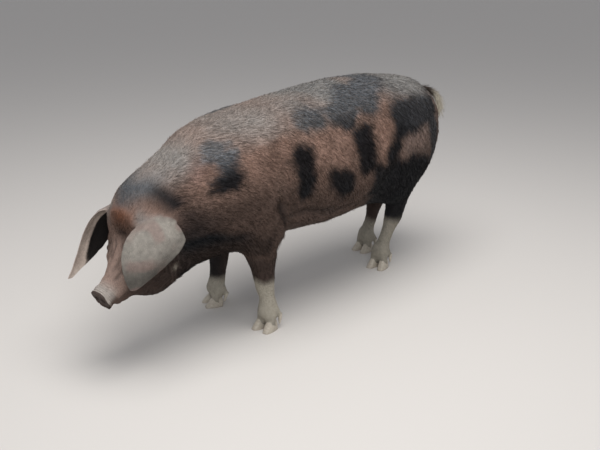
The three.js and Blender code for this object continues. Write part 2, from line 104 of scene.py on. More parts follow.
floor_mesh = bpy.data.meshes.new("floor")
corners = [(x * FLOOR_REACH, y * FLOOR_REACH, 0) for x, y in ((-1, -1), (1, -1), (1, 1), (-1, 1))]
floor_mesh.from_pydata(corners, [], [(0, 1, 2, 3)])
floor = shown("floor", floor_mesh, material("floor", FLOOR_COLOUR, 0.9))


def soft_light(name, place, towards, size, watts, colour):
    lamp = bpy.data.lights.new(name, "AREA")
    lamp.shape = "DISK"
    lamp.size = size
    lamp.energy = watts
    lamp.color = colour
    lit = bpy.data.objects.new(name, lamp)
    lit.location = place
    lit.rotation_euler = (Vector(towards) - Vector(place)).to_track_quat("-Z", "Y").to_euler()
    bpy.context.scene.collection.objects.link(lit)


soft_light("sky", (0.6, -0.4, 3.6), (0, 0, 0.5), 3.2, 120, (1.0, 0.99, 0.97))
soft_light("front", (3.0, -2.6, 2.4), (0, -0.1, 0.5), 2.0, 45, (0.96, 0.98, 1.0))

world = bpy.data.worlds.new("studio")
world.use_nodes = True
world.node_tree.nodes["Background"].inputs["Color"].default_value = (0.93, 0.95, 1.0, 1)
world.node_tree.nodes["Background"].inputs["Strength"].default_value = 0.42
bpy.context.scene.world = world
bpy.context.scene.view_settings.view_transform = "Standard"

# ------------------------------------------------------------------ the hide
# One unbroken skin over the whole animal. It lies inside the solids by the depth of the
# bristles, and carries the folds, lids, lips and nostrils that they leave out.
GRAIN = 0.0035            # size of the cells that the skin is first drawn in
KEPT = {"plain": 0.118, "shaped": 0.405}    # share of the facets kept in each zone
GROWN = 0.0008            # how far pieces grow to close the cuts between them
EAR_GROWN = 0.003         # more for the thin ears, taken off again below
EAR_TIP_GROWN = 0.003     # and more again at their narrow tips
EAR_TIP = 0.35            # share of an ear's height that is its tip
CLAW_SKINNED = 0.0045     # skin over the top of each claw
CLAW_BARE = -0.003        # and how far inside the horn it lies lower down
CLAW_TOP = 0.6            # share of a claw's height that is below its top
WELDED = 1e-6             # corners closer than this are one
CLAWS = ("hoof", "dewclaw")
FEET = ("foot", *CLAWS)
EARS = ("ear_left", "ear_right")
EYE_SIDES = {"eye_left": 1, "eye_right": -1}
# How deep the skin lies in each kind of solid, and how much of its facets is worn smooth.
COAT_DEPTH = {
    "trunk": 0.005, "neck": 0.005, "ham": 0.0045, "leg": 0.003, "foot": 0.001,
    "head": 0.0025, "snout": 0.0, "ear": 0.0, "eye": 0.0, "tail": 0.003, "hoof": 0, "dewclaw": 0,
}
SOFTENING = {
    "trunk": 0.9, "neck": 0.85, "ham": 0.7, "leg": 0.35, "foot": 0.12,
    "head": 0.16, "snout": 0.08, "ear": 0.12, "eye": 0.1, "tail": 0.2, "hoof": 0.1, "dewclaw": 0.1,
}
SOFTENING_ROUNDS = 60
EAR_TURNS = 45            # rounds of smoothing along the rims of the ears


def family(node):
    return node.split("_")[0]


def settled(piece):
    """A plain mesh of the piece as its modifiers make it."""
    graph = bpy.context.evaluated_depsgraph_get()
    return bpy.data.meshes.new_from_object(piece.evaluated_get(graph))


def height_in(node, heights):
    """0 at the foot of a node and 1 at its top."""
    low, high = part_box(node)
    return (heights - low.z) / (high.z - low.z)


def grown_together(nodes):
    """The nodes' closed meshes, each swollen enough to run into its neighbours."""
    joined = bmesh.new()
    for node in nodes:
        one = bmesh.new()
        one.from_mesh(frame["nodes"][node].data)
        bmesh.ops.remove_doubles(one, verts=one.verts, dist=WELDED)
        one.normal_update()
        for v in one.verts:
            swell = GROWN
            if family(node) == "ear":
                swell += EAR_GROWN + EAR_TIP_GROWN * max(0, 1 - height_in(node, v.co.z) / EAR_TIP)
            if family(node) in CLAWS:
                swell = CLAW_SKINNED if height_in(node, v.co.z) > CLAW_TOP else CLAW_BARE
            v.co += v.normal * swell
        part = bpy.data.meshes.new(node)
        one.to_mesh(part)
        one.free()
        joined.from_mesh(part)
        bpy.data.meshes.remove(part)
    mesh = bpy.data.meshes.new("flesh")
    joined.to_mesh(mesh)
    joined.free()
    return mesh


def column(mesh_items, key, width):
    """One value, or a row of `width` values, for each item of a mesh."""
    values = np.empty(len(mesh_items) * width)
    mesh_items.foreach_get(key, values)
    return values.reshape(-1, width) if width > 1 else values


flesh_nodes = [n for n in frame["nodes"] if family(n) not in CLAWS]
claw_nodes = [n for n in frame["nodes"] if family(n) in CLAWS]
hide = shown("hide", grown_together(frame["nodes"]))
voxels = hide.modifiers.new("one skin", "REMESH")
voxels.mode = "VOXEL"
voxels.voxel_size = GRAIN
hide.data = settled(hide)
hide.modifiers.clear()

# The head's own axes: back along the nose, up from its bridge, and to the pig's left.
NOSE = np.array([0, -0.9352, 0.266])
HEAD_DIP = math.radians(39)
HEAD = np.array([
    [1, 0, 0],
    [0, math.cos(HEAD_DIP), math.sin(HEAD_DIP)],
    [0, -math.sin(HEAD_DIP), math.cos(HEAD_DIP)],
])


def in_head(points):
    """Places on the head's own axes: to its left, back along the nose, up from its bridge."""
    return (points - NOSE) @ HEAD.T


def from_head(points):
    return np.asarray(points) @ HEAD + NOSE


def centre_of(node):
    low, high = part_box(node)
    return np.array((low + high) / 2)


# The broad smooth parts need fewer facets than the head, ears, feet and tail, and the
# muzzle, the tips of the ears and the skin round the eyes need more.
FINE_MUZZLE = 0.078
FINE_EYE = 0.034
FINE_EAR_TIP = 0.2


def finer(points):
    """Which points lie where the hide needs its smallest facets."""
    picked = in_head(points)[:, 1] < FINE_MUZZLE
    for eye in EYE_SIDES:
        picked |= np.linalg.norm(points - centre_of(eye), axis=1) < FINE_EYE
    for ear in EARS:
        low, high = (np.array(corner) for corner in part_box(ear))
        beside_ear = np.all((points > low - 0.01) & (points < high + 0.01), axis=1)
        picked |= beside_ear & (height_in(ear, points[:, 2]) < FINE_EAR_TIP)
    return picked


places = column(hide.data.vertices, "co", 3)
tail_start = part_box("tail")[0]
plain = (places[:, 1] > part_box("head")[1].y) & (places[:, 2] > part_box("foot_fore_left")[1].z)
plain &= ~((places[:, 1] > tail_start.y + 0.04) & (places[:, 2] > tail_start.z))
zone = np.where(plain, "plain", "shaped")
zone[finer(places)] = "fine"
zones = {name: hide.vertex_groups.new(name=name) for name in KEPT}
for name, group in zones.items():
    group.add([int(i) for i in np.flatnonzero(zone == name)], 1.0, "REPLACE")
# Each Decimate thins its own zone, but its ratio is of all the facets that reach it.
thin = [hide.modifiers.new(name, "DECIMATE") for name in KEPT]
share = 1.0
for each in thin:
    part = np.mean(zone == each.name)
    left = share - part * (1 - KEPT[each.name])
    each.ratio, share = left / share, left
    each.vertex_group = each.name
hide.data = settled(hide)
hide.modifiers.clear()
hide.vertex_groups.clear()

# The finest zone keeps all its facets, and each of their edges is halved.
work = bmesh.new()
work.from_mesh(hide.data)
bmesh.ops.triangulate(work, faces=work.faces)
middles = np.array([f.calc_center_median() for f in work.faces])
work.faces.ensure_lookup_table()
edges = {e for i in np.flatnonzero(finer(middles)) for e in work.faces[i].edges}
bmesh.ops.subdivide_edges(work, edges=list(edges), cuts=1, use_grid_fill=True)
bmesh.ops.triangulate(work, faces=work.faces)
work.to_mesh(hide.data)
work.free()


class Surface:
    """Points and triangles of the hide, with what is worked out from them."""

    def __init__(self, mesh):
        self.points = column(mesh.vertices, "co", 3)
        self.corners = column(mesh.polygons, "vertices", 3).astype(int)
        edges = np.empty(len(mesh.edges) * 2, int)
        mesh.edges.foreach_get("vertices", edges)
        a, b = edges.reshape(-1, 2).T
        self.ends = np.concatenate([a, b]), np.concatenate([b, a])
        self.count = np.bincount(self.ends[0], minlength=len(self.points))

    def mean(self, values):
        """Each point's value averaged over its neighbours."""
        here, there = self.ends
        size = len(self.points)
        if values.ndim == 1:
            return np.bincount(here, values[there], size) / self.count
        return np.stack([self.mean(v) for v in values.T], axis=1)

    def diffused(self, values, rounds, rate=1.0):
        """The values after so many rounds of moving towards their neighbours' mean."""
        for _ in range(rounds):
            pull = self.mean(values) - values
            by_row = np.ndim(rate) > 0 and values.ndim > 1
            values = values + pull * (rate[:, None] if by_row else rate)
        return values

    def normals(self):
        a, b, c = (self.points[self.corners[:, k]] for k in range(3))
        across = np.cross(b - a, c - a)
        total = np.zeros_like(self.points)
        for k in range(3):
            for axis in range(3):
                total[:, axis] += np.bincount(self.corners[:, k], across[:, axis], len(total))
        return total / np.maximum(np.linalg.norm(total, axis=1, keepdims=True), 1e-12)


skin = Surface(hide.data)

# Which node each point of the hide came from, and how far it lies outside that node.
triangles, owners, vertices = [], [], []
for node in frame["nodes"]:
    cad = frame["nodes"][node].data
    triangles += [tuple(i + len(vertices) for i in f.vertices) for f in cad.polygons]
    owners += [node] * len(cad.polygons)
    vertices += [tuple(v.co) for v in cad.vertices]
solids = BVHTree.FromPolygons(vertices, triangles)
owner = np.array([owners[solids.find_nearest(Vector(p))[2]] for p in skin.points])
kind = np.array([family(n) for n in owner])


def outside(points):
    """How far each point lies outside the solids, less than 0 inside them."""
    found = [solids.find_nearest(Vector(p)) for p in points]
    off = points - np.array([f[0] for f in found])
    facing = np.array([f[1] for f in found])
    return np.linalg.norm(off, axis=1) * np.sign(np.sum(off * facing, axis=1))


def by_kind(table):
    return np.array([table[k] for k in kind])


def share_of(*kinds):
    """How far each point belongs to the named kinds of node, blended across the joins."""
    return skin.diffused(np.isin(kind, kinds).astype(float), 6)


# Facets are worn smooth, and the skin is then set as deep as the coat needs.
rate = skin.diffused(by_kind(SOFTENING), 12)
skin.points = skin.diffused(skin.points, SOFTENING_ROUNDS, rate)
too_high = np.where(np.isin(kind, CLAWS), 0, outside(skin.points)) + by_kind(COAT_DEPTH)
skin.points = skin.points - skin.normals() * skin.diffused(too_high, 26, np.sqrt(rate))[:, None]

# The ears are thin leaves, so their skin is laid back on their own solids, made smoother,
# and the fold where each grows from the head is worn down.
ear_part = skin.diffused((kind == "ear").astype(float), 12)
ear_root = 4 * ear_part * (1 - ear_part)
EAR_SURE = 0.6            # share from which a point is taken to lie on the ear itself
ear_part = np.clip((ear_part - EAR_SURE) / 0.35, 0, 1)
for ear in EARS:
    cad = bpy.data.objects.new(ear + "_leaf", frame["nodes"][ear].data.copy())
    bpy.context.scene.collection.objects.link(cad)
    cad.modifiers.new("one surface", "WELD").merge_threshold = WELDED
    cad.modifiers.new("smoother", "SUBSURF").levels = 2
    shape = settled(cad)
    bpy.data.objects.remove(cad)
    leaf, plain_leaf = (
        BVHTree.FromPolygons([v.co for v in of.vertices], [tuple(f.vertices) for f in of.polygons])
        for of in (shape, frame["nodes"][ear].data)
    )
    mine = np.flatnonzero((ear_part > 0) & (owner == ear))
    for _ in range(3):
        for i in mine:
            point = Vector(skin.points[i])
            laid = (leaf.find_nearest(point)[0] + plain_leaf.find_nearest(point)[0]) / 2
            skin.points[i] += (np.array(laid) - skin.points[i]) * ear_part[i]
        skin.points = skin.diffused(skin.points, 2, 0.5 * ear_part)
# Smoothing forward and back by turns takes the ripples out of their rims and keeps the size.
for _ in range(EAR_TURNS):
    skin.points = skin.diffused(skin.points, 1, 0.55 * ear_part)
    skin.points = skin.diffused(skin.points, 1, -0.57 * ear_part)
skin.points = skin.diffused(skin.points, 24, 0.6 * ear_root)


def step(value, low, high):
    """0 up to `low` and 1 from `high`, with a smooth rise between them."""
    t = np.clip((value - low) / (high - low), 0, 1)
    return t * t * (3 - 2 * t)


def bell(value, width):
    """1 where the value is 0, falling smoothly away on both sides."""
    return np.exp(-(value / width) ** 2)


def raised(height):
    """Move the skin straight out by a height given for each point."""
    skin.points = skin.points + skin.normals() * np.asarray(height)[:, None]


def mottle(points, size, seed):
    """Smooth random values from 0 to 1, whose spots are about `size` across. The large
    whole numbers only scramble the numbers of the cells."""
    at = points / size + seed * 17.3
    cell = np.floor(at).astype(np.int64)
    part = at - cell
    part = part * part * (3 - 2 * part)
    total = np.zeros(len(points))
    for corner in range(8):
        bits = np.array([corner & 1, corner >> 1 & 1, corner >> 2 & 1])
        key = (cell + bits) @ np.array([73856093, 19349663, 83492791])
        key = (key ^ (key >> 13)) * 1274126177 & 0x7FFFFFFF
        key = (key ^ (key >> 15)) * 1103515245 & 0x7FFFFFFF
        weight = np.prod(np.where(bits, part, 1 - part), axis=1)
        total += weight * key / 0x7FFFFFFF
    return total


# The snout disc: a flat tough plate with a raised rim and two open nostrils.
DISC_DIP = math.radians(33)
DISC_RADIUS = 0.044
DISC_RIM = 0.0452
DISC_OUT = np.array([0, -math.cos(DISC_DIP), -math.sin(DISC_DIP)])
DISC_UP = np.array([0, -math.sin(DISC_DIP), math.cos(DISC_DIP)])
DISC_CENTRE = from_head([0, 0.012, 0.004])
DISC_NEAR = 0.075         # points further from its middle than this are left alone
RIM_RADIUS = DISC_RADIUS * 0.86
RIM_HEIGHT = 0.0022
NOSTRIL_ASIDE = 0.0185
NOSTRIL_UP = 0.002
NOSTRIL_DEPTH = 0.016
NOSTRIL_HALF_WIDTH = 0.0075
NOSTRIL_HALF_HEIGHT = 0.0105


def in_disc():
    """Each point's place across the disc, up it, and out from it."""
    d = skin.points - DISC_CENTRE
    return d[:, 0], d @ DISC_UP, d @ DISC_OUT


near_disc = np.linalg.norm(skin.points - DISC_CENTRE, axis=1) < DISC_NEAR
x, up, out = in_disc()
radius = np.hypot(x, up)
facing = step(skin.normals() @ DISC_OUT, 0.25, 0.8) * near_disc * (out > -0.012)
plate = 0.004 - 0.012 * step(radius, RIM_RADIUS, DISC_RADIUS * 1.12)
plate += RIM_HEIGHT * bell(radius - RIM_RADIUS, 0.004) - 0.0015 * bell(x, 0.0025) * (up < 0.02)
skin.points = skin.points + DISC_OUT * (facing * (plate - out))[:, None]
for side in (-1, 1):
    x, up, out = in_disc()
    a = (x - side * NOSTRIL_ASIDE) + side * 0.25 * up
    e = np.hypot(a / NOSTRIL_HALF_WIDTH, (up - NOSTRIL_UP) / NOSTRIL_HALF_HEIGHT)
    hole = NOSTRIL_DEPTH * (1 - step(e, 0.35, 1.12)) - 0.0016 * bell(e - 1.35, 0.3)
    skin.points = skin.points - DISC_OUT * (hole * facing)[:, None]

x, up, out = in_disc()
radius = np.hypot(x, up)
past_rim = np.clip(radius - DISC_RIM, 0, None) * near_disc * step(out, -0.022, -0.008)
inward = (x[:, None] * [1, 0, 0] + up[:, None] * DISC_UP) / np.maximum(radius, 0.001)[:, None]
skin.points = skin.points - inward * past_rim[:, None]
skin.points = skin.diffused(skin.points, 16, 0.5 * near_disc * bell(radius - DISC_RADIUS, 0.009))

# Behind the disc the muzzle is drawn in, and its skin is pushed up in ridges.
RIDGE_HEIGHT = 0.0017
RIDGE_PITCH = 0.0078
h = in_head(skin.points)
not_ear = 1 - share_of("ear")
waved = h[:, 1] + 0.1 * np.abs(h[:, 0]) + 0.009 * mottle(skin.points, 0.02, 3)
on_muzzle = step(h[:, 1], 0.008, 0.016) * (1 - step(h[:, 1], 0.045, 0.08)) * not_ear
upper = step(h[:, 2], -0.03, 0.005)
ridges = RIDGE_HEIGHT * np.sin(waved * math.tau / RIDGE_PITCH) * on_muzzle * upper
ridges *= 0.1 + 1.2 * mottle(skin.points, 0.013, 4)
raised(ridges - 0.0035 * bell(h[:, 1] - 0.022, 0.007) * step(h[:, 2], -0.04, -0.02) * not_ear)

# The mouth is shut: a long lip line along each side of the muzzle, turned up at its end.
LIP_LEVEL = -0.027
LIP_DEPTH = 0.0042
h = in_head(skin.points)
lip = LIP_LEVEL - 0.10 * (h[:, 1] - 0.01) + 0.010 * step(h[:, 1], 0.085, 0.125)
in_mouth = step(h[:, 1], 0.004, 0.016) * (1 - step(h[:, 1], 0.112, 0.13))
in_mouth *= step(np.abs(h[:, 0]), 0.004, 0.014) * (h[:, 1] < 0.14) * not_ear
below = step(lip - h[:, 2], 0, 0.006) * (1 - step(lip - h[:, 2], 0.012, 0.03))
raised(in_mouth * (-LIP_DEPTH * bell(h[:, 2] - lip, 0.0022) - 0.0025 * below))
raised(in_mouth * 0.0014 * bell(h[:, 2] - lip - 0.006, 0.004))

# Eyes lie deep between thick lids, with creases over and under them.
EYE_RADIUS = 0.0125
EYE_OUT = np.array([0.86, -0.36, 0.36])
EYE_ALONG = np.array([0.30, 0.92, 0.18])
LID_HALF = 0.0125         # half the length of the slit between the lids
LID_GAP = 0.0062          # and half its width


def gaze(side):
    """The way in which an eye looks out of the head."""
    return (EYE_OUT / np.linalg.norm(EYE_OUT) * [side, 1, 1]) @ HEAD


eyelids = np.zeros(len(skin.points))
for eye, side in EYE_SIDES.items():
    outward = gaze(side)
    along = (EYE_ALONG * [side, 1, 1]) @ HEAD
    along -= outward * (along @ outward)
    along /= np.linalg.norm(along)
    over = np.cross(outward, along) * -side
    d = skin.points - centre_of(eye)
    a, b, w = d @ along, d @ over, d @ outward
    reach = np.sqrt(a * a + b * b + 1e-12)
    close = (reach < 0.05) & (w > -0.03) & (np.abs(w) < 0.05) & (kind != "ear")
    half = LID_GAP * np.clip(1 - (a / LID_HALF) ** 2, 0, 1) ** 0.7
    slit = np.where(np.abs(a) < LID_HALF, np.abs(b + 0.0005) / np.maximum(half, 0.0008), 9)
    slit = np.minimum(slit, 9)
    sphere = np.sqrt(np.clip((EYE_RADIUS + 0.0018) ** 2 - reach ** 2, 0, None))
    lidded = (1 - step(reach, EYE_RADIUS * 0.95, EYE_RADIUS * 1.7)) * close
    target = np.where(slit < 1, sphere - 0.0065, sphere)
    move = lidded * (target - w)
    crease = 0.0022 * bell(reach - 0.0195, 0.0022) * step(b, -0.004, 0.006)
    crease += 0.0016 * bell(reach - 0.0265, 0.0026) * step(b, 0.0, 0.01)
    crease += 0.0014 * bell(reach - 0.0205, 0.0025) * step(-b, 0.0, 0.008)
    move = move - crease * close + 0.0055 * bell(reach - 0.034, 0.013) * close * step(b, -0.03, 0.0)
    skin.points = skin.points + outward * move[:, None]
    eyelids = np.maximum(eyelids, close * (reach < 0.0145) * (slit < 2.0))

# Loose skin falls in folds down the face and where the cheek meets the muzzle. A fold down
# the face has its distance from the middle, where it starts and stops, and its depth; one at
# the cheek has its place along the head and its depth.
FACE_FOLDS = ((0.014, 0.11, 0.23, 0.0035), (0.034, 0.07, 0.215, 0.0062), (0.052, 0.085, 0.17, 0.0045))
CHEEK_FOLDS = ((0.098, 0.003), (0.113, 0.0025), (0.13, 0.002))
# Where the folds lie, for the black painted shade laid in them.
fold_shade = np.zeros(len(skin.points))
h = in_head(skin.points)
side_of_face = np.abs(h[:, 0])
for line, start, stop, deep in FACE_FOLDS:
    wander = line + 0.004 * np.sin(h[:, 1] * 60) + 0.12 * (h[:, 1] - start)
    wander += 0.012 * (mottle(h, 0.05, 9) - 0.5)
    in_fold = bell(side_of_face - wander, 0.005) * (h[:, 2] > 0) * step(h[:, 1], start, start + 0.02)
    broken = step(mottle(skin.points, 0.035, 8), 0.25, 0.6)
    in_fold *= (1 - step(h[:, 1], stop - 0.03, stop)) * broken * not_ear
    swollen = bell(side_of_face - wander - 0.011, 0.006) * (in_fold < 0.2) * (h[:, 2] > 0) * not_ear
    swollen *= step(h[:, 1], start, start + 0.03) * (1 - step(h[:, 1], stop - 0.04, stop))
    raised(-deep * in_fold + 0.35 * deep * swollen)
    fold_shade = np.maximum(fold_shade, in_fold)
for back, deep in CHEEK_FOLDS:
    bend = back + 0.25 * (h[:, 2] + 0.02) + 0.003 * np.sin(h[:, 2] * 90)
    raised(-deep * bell(h[:, 1] - bend, 0.004) * step(side_of_face, 0.03, 0.045)
           * bell(h[:, 2] + 0.02, 0.04) * not_ear)


def on_side(line, side, back=0.0):
    """A line of the left side, moved to a side and set back."""
    return [(side * x, y + back, z) for x, y, z in line]


def beside(points, line):
    """Each point's distance from a line between two places, and its offset from it."""
    start, stop = np.array(line[0]), np.array(line[1])
    run = stop - start
    t = np.clip((points - start) @ run / (run @ run), 0, 1)
    off = points - start - t[:, None] * run
    return np.linalg.norm(off, axis=1), off


# Creases behind the elbows, and the web of skin from the belly to each thigh. The right
# foreleg stands further back, and so do its creases.
ELBOW_CREASE = ((0.235, -0.285, 0.51), (0.185, -0.20, 0.375))
ELBOW_SAG = ((0.20, -0.13, 0.40), (0.17, 0.06, 0.35))
THIGH_WEB = ((0.26, 0.36, 0.57), (0.235, 0.20, 0.43))
SET_BACK = {1: 0.0, -1: 0.035}
# Where the creases and the sagging skin lie, for the black painted shade laid along them.
crease_shade = np.zeros(len(skin.points))
for side, back in SET_BACK.items():
    away, off = beside(skin.points, on_side(ELBOW_CREASE, side, back))
    raised(-0.026 * bell(away, 0.016) + 0.013 * bell(off[:, 1] + 0.04, 0.03) * bell(away, 0.07))
    crease_shade = np.maximum(crease_shade, bell(away, 0.016))
    away, off = beside(skin.points, on_side(ELBOW_SAG, side, back))
    raised(0.010 * bell(away, 0.03) - 0.014 * bell(off[:, 2] - 0.045, 0.018) * bell(away, 0.1))
    crease_shade = np.maximum(crease_shade, 0.7 * bell(off[:, 2] - 0.045, 0.014) * bell(away, 0.09))
    away, off = beside(skin.points, on_side(THIGH_WEB, side))
    raised(0.007 * bell(away, 0.028) - 0.008 * bell(off[:, 1] - 0.05, 0.03) * bell(away, 0.09))

# Loose skin is never quite even: shallow lumps over the body, finer ones on the legs, and
# wrinkles across the throat.
THROAT_WRINKLES = 5
WRINKLES_START = -0.66
WRINKLE_PITCH = 0.02
body_like = share_of("trunk", "neck", "ham")
lumps = mottle(skin.points, 0.11, 1) + 0.5 * mottle(skin.points, 0.05, 2) - 0.75
raised(0.004 * lumps * body_like + 0.0012 * (mottle(skin.points, 0.018, 5) - 0.5) * share_of("leg", *FEET))
for k in range(THROAT_WRINKLES):
    wrinkle = WRINKLES_START - WRINKLE_PITCH * k
    low_neck = step(0.52 - skin.points[:, 2], 0, 0.1)
    run = skin.points[:, 1] - wrinkle + 0.35 * (skin.points[:, 2] - 0.4)
    across = bell(run + 0.006 * mottle(skin.points, 0.06, 7), 0.006)
    raised(-0.003 * across * low_neck * share_of("neck", "head"))


def unit(vectors):
    """The vectors at a length of 1."""
    return vectors / np.maximum(np.linalg.norm(vectors, axis=1, keepdims=True), 1e-9)


REACH_ROUNDS = 160        # enough to carry a distance from one end of an ear to the other


def reach_of(part):
    """How far each point of the ears or the tail is from where it joins the body."""
    here, there = skin.ends
    inside = (kind == part)[here]
    here, there = here[inside], there[inside]
    length = np.linalg.norm(skin.points[there] - skin.points[here], axis=1)
    far = np.where(kind == part, 1e3, 0.0)
    for _ in range(REACH_ROUNDS):
        np.minimum.at(far, here, far[there] + length)
    return skin.diffused(np.minimum(far, 1.0), 8)


def uphill(values, part):
    """The way in which the values rise fastest over the ears or the tail."""
    here, there = skin.ends
    inside = (kind == part)[here]
    here, there = here[inside], there[inside]
    gap = skin.points[there] - skin.points[here]
    rise = (values[there] - values[here]) / np.maximum(np.sum(gap * gap, axis=1), 1e-9)
    size = len(skin.points)
    return unit(np.stack([np.bincount(here, gap[:, k] * rise, size) for k in range(3)], axis=1))


# The front edge of each ear is rolled back on itself, so its outer face shows as a band,
# which is widest near the root.
EAR_SLICES = 24


def band_width(reach):
    return 0.024 + 0.03 * (1 - step(reach, 0.1, 0.5))


ear_reach = reach_of("ear")
tail_reach = reach_of("tail")
ears = {}
for node in EARS:
    mine = owner == node
    leaf = skin.points[mine]
    long = unit((leaf[ear_reach[mine].argmax()] - leaf[ear_reach[mine] < 0.02].mean(axis=0))[None])[0]
    flat = np.linalg.svd(leaf - leaf.mean(axis=0), full_matrices=False)[2][2]
    flat *= np.sign(flat[0]) * np.sign(leaf[:, 0].mean())
    front = np.cross(long, flat)
    front *= -np.sign(front[1])
    along = skin.points @ long
    part_way = (along - along[mine].min()) / np.ptp(along[mine])
    slot_of = np.clip((part_way * EAR_SLICES).astype(int), 0, EAR_SLICES)
    edge = np.full(EAR_SLICES + 1, -1e3)
    np.maximum.at(edge, slot_of[mine], (skin.points @ front)[mine])
    from_front = skin.diffused(edge[slot_of] - skin.points @ front, 4)
    outer_face = skin.diffused(step(skin.normals() @ flat, -0.3, 0.2), 4)
    to_tip = ear_reach / ear_reach[mine].max()
    ears[node] = outer_face, from_front, to_tip
    roll = bell(from_front - band_width(ear_reach), 0.007)
    raised(0.004 * mine * (1 - outer_face) * roll * (1 - step(to_tip, 0.6, 0.8)))

# The rim of an ear is where its skin turns most sharply.
turn = np.linalg.norm(skin.diffused(skin.points, 3) - skin.points, axis=1)
rim = skin.diffused(step(turn, 0.0010, 0.0022) * (kind == "ear"), 3)

hide.data.vertices.foreach_set("co", skin.points.ravel())
hide.data.update()
normals = skin.normals()

# ------------------------------------------------------------------ markings
# Red-brown hair with blue-black blotches, dust and painted sky sheen on the neck and back,
# pale feet and a black throat, with painted shade in the creases, folds and hollows and
# painted sky light on the right ear. The blotches are laid out along the body and round its girth.
RED_BROWN = np.array([0.225, 0.140, 0.108])
DARK_BROWN = np.array([0.040, 0.026, 0.021])
BLACK = np.array([0.004, 0.005, 0.007])
# The two dust tones below are partly dust and partly painted sky sheen on hair that faces up.
BLUE_DUST_AND_SKY_SHEEN = np.array([0.100, 0.110, 0.124])
SLATE = np.array([0.125, 0.130, 0.132])
DUST_AND_SKY_SHEEN = np.array([0.205, 0.194, 0.183])
CREAM = np.array([0.40, 0.365, 0.30])
GINGER = np.array([0.20, 0.088, 0.052])
FACE = np.array([0.33, 0.235, 0.195])
PINK = np.array([0.36, 0.235, 0.205])
# The right ear's tone is raised above the left's as painted sky light on its upturned faces.
EAR_SKINS = {"ear_left": np.array([0.245, 0.224, 0.196]), "ear_right": np.array([0.30, 0.25, 0.225])}
EAR_RIM = np.array([0.42, 0.37, 0.31])
# Pale skin of the right ear's rolled front edge, made paler still as painted sky light.
EAR_BAND_AND_SKY_LIGHT = np.array([0.56, 0.47, 0.40])
# Painted shade inside the hollows of the ears.
EAR_HOLLOW_SHADE = np.array([0.006, 0.005, 0.005])
SNOUT_PALE = np.array([0.40, 0.355, 0.32])
# Partly the disc's own dark skin and partly painted shade.
DISC_SKIN_AND_SHADE = np.array([0.045, 0.028, 0.023])

# Each blotch runs from one place to another, each given along the body in metres and round
# its girth in degrees (0 at the side, 90 on the spine); then half its width, and how black
# it is: 1 is black, 0 the blue-grey of black hair under dust and painted sky sheen.
BLOTCHES = {
    1: [                                           # left side
        (-0.505, 32, -0.485, 24, 0.058, 1.0),      # shoulder
        (-0.52, 60, -0.465, 46, 0.054, 0.0),       # and above it, greyed by dust and painted sky sheen
        (-0.165, 20, -0.14, -8, 0.063, 1.0),       # middle of the flank
        (0.025, -7, 0.055, -14, 0.062, 1.0),       # low on the flank
        (-0.09, 48, -0.03, 52, 0.054, 0.5),        # back
        (0.10, 45, 0.22, 66, 0.070, 0.72),         # back
        (0.27, 54, 0.44, 82, 0.078, 0.35),         # loin
        (0.185, 23, 0.195, 5, 0.066, 1.0),         # flank, before the hip
        (0.36, -4, 0.45, 22, 0.058, 0.95),         # hip
        (0.47, 30, 0.68, 40, 0.090, 0.72),         # rump
        (0.35, -24, 0.60, -32, 0.118, 1.0),        # thigh
        (0.42, -45, 0.47, -70, 0.13, 1.0),         # inside the thigh
        (0.68, 34, 0.76, -30, 0.060, 0.6),         # beside the tail
    ],
    -1: [                                          # right side
        (-0.46, 40, -0.42, 22, 0.066, 1.0),
        (-0.26, 62, -0.18, 56, 0.058, 0.3),
        (-0.10, 22, -0.06, -6, 0.060, 1.0),
        (0.06, 44, 0.13, 56, 0.066, 0.5),
        (0.12, -8, 0.17, -22, 0.066, 0.97),
        (0.30, 58, 0.40, 74, 0.078, 0.35),
        (0.30, 22, 0.38, 4, 0.072, 0.97),
        (0.54, 48, 0.62, 12, 0.085, 0.8),
        (0.46, -28, 0.66, -34, 0.13, 1.0),
        (0.50, -50, 0.55, -70, 0.13, 1.0),
    ],
}
# The top of the pale sock on each leg, by fore or hind and by side.
SOCKS = {("fore", 1): 0.222, ("fore", -1): 0.135, ("hind", 1): 0.24, ("hind", -1): 0.165}
# The girth is measured round an axis along the body, which slopes down along the neck.
GIRTH_RADIUS = 0.28
GIRTH_HEIGHT = 0.58
NECK_START = -0.41
NECK_DROP = math.tan(math.radians(22))

side_x, along_y, height = skin.points.T
axis = GIRTH_HEIGHT + NECK_DROP * np.minimum(along_y - NECK_START, 0)
girth = np.degrees(np.arctan2(height - axis, np.abs(side_x)))
across_face, down_nose, off_nose = in_head(skin.points).T
grey = mottle(skin.points, 0.05, 13)


class HidePaint:
    """The colour of every point of the hide, its own markings together with painted light and shade, laid on
    in thin coats one over another.
    """

    def __init__(self, ground):
        self.colour = ground

    def lay(self, tone, amount):
        self.colour = self.colour + (tone - self.colour) * np.clip(amount, 0, 1)[:, None]


def ground_hair():
    """Red-brown hair, darker low down, with a slate-grey saddle over the back."""
    streaked = mottle(skin.points * [1, 0.45, 0.7], 0.012, 26)
    brown = RED_BROWN * (0.66 + 0.46 * grey + 0.22 * streaked)[:, None]
    low = step(16 * (1 - step(along_y, -0.32, 0.05)) - girth, -8, 28)[:, None]
    hair = brown * (1 - low) + (0.22 * RED_BROWN + 0.78 * DARK_BROWN) * low
    slate = step(girth, 42, 66) * step(along_y, -0.25, 0.05)
    slate = slate * (0.35 + 0.6 * step(mottle(skin.points, 0.10, 16), 0.3, 0.62))
    return hair + (SLATE - hair) * slate[:, None]


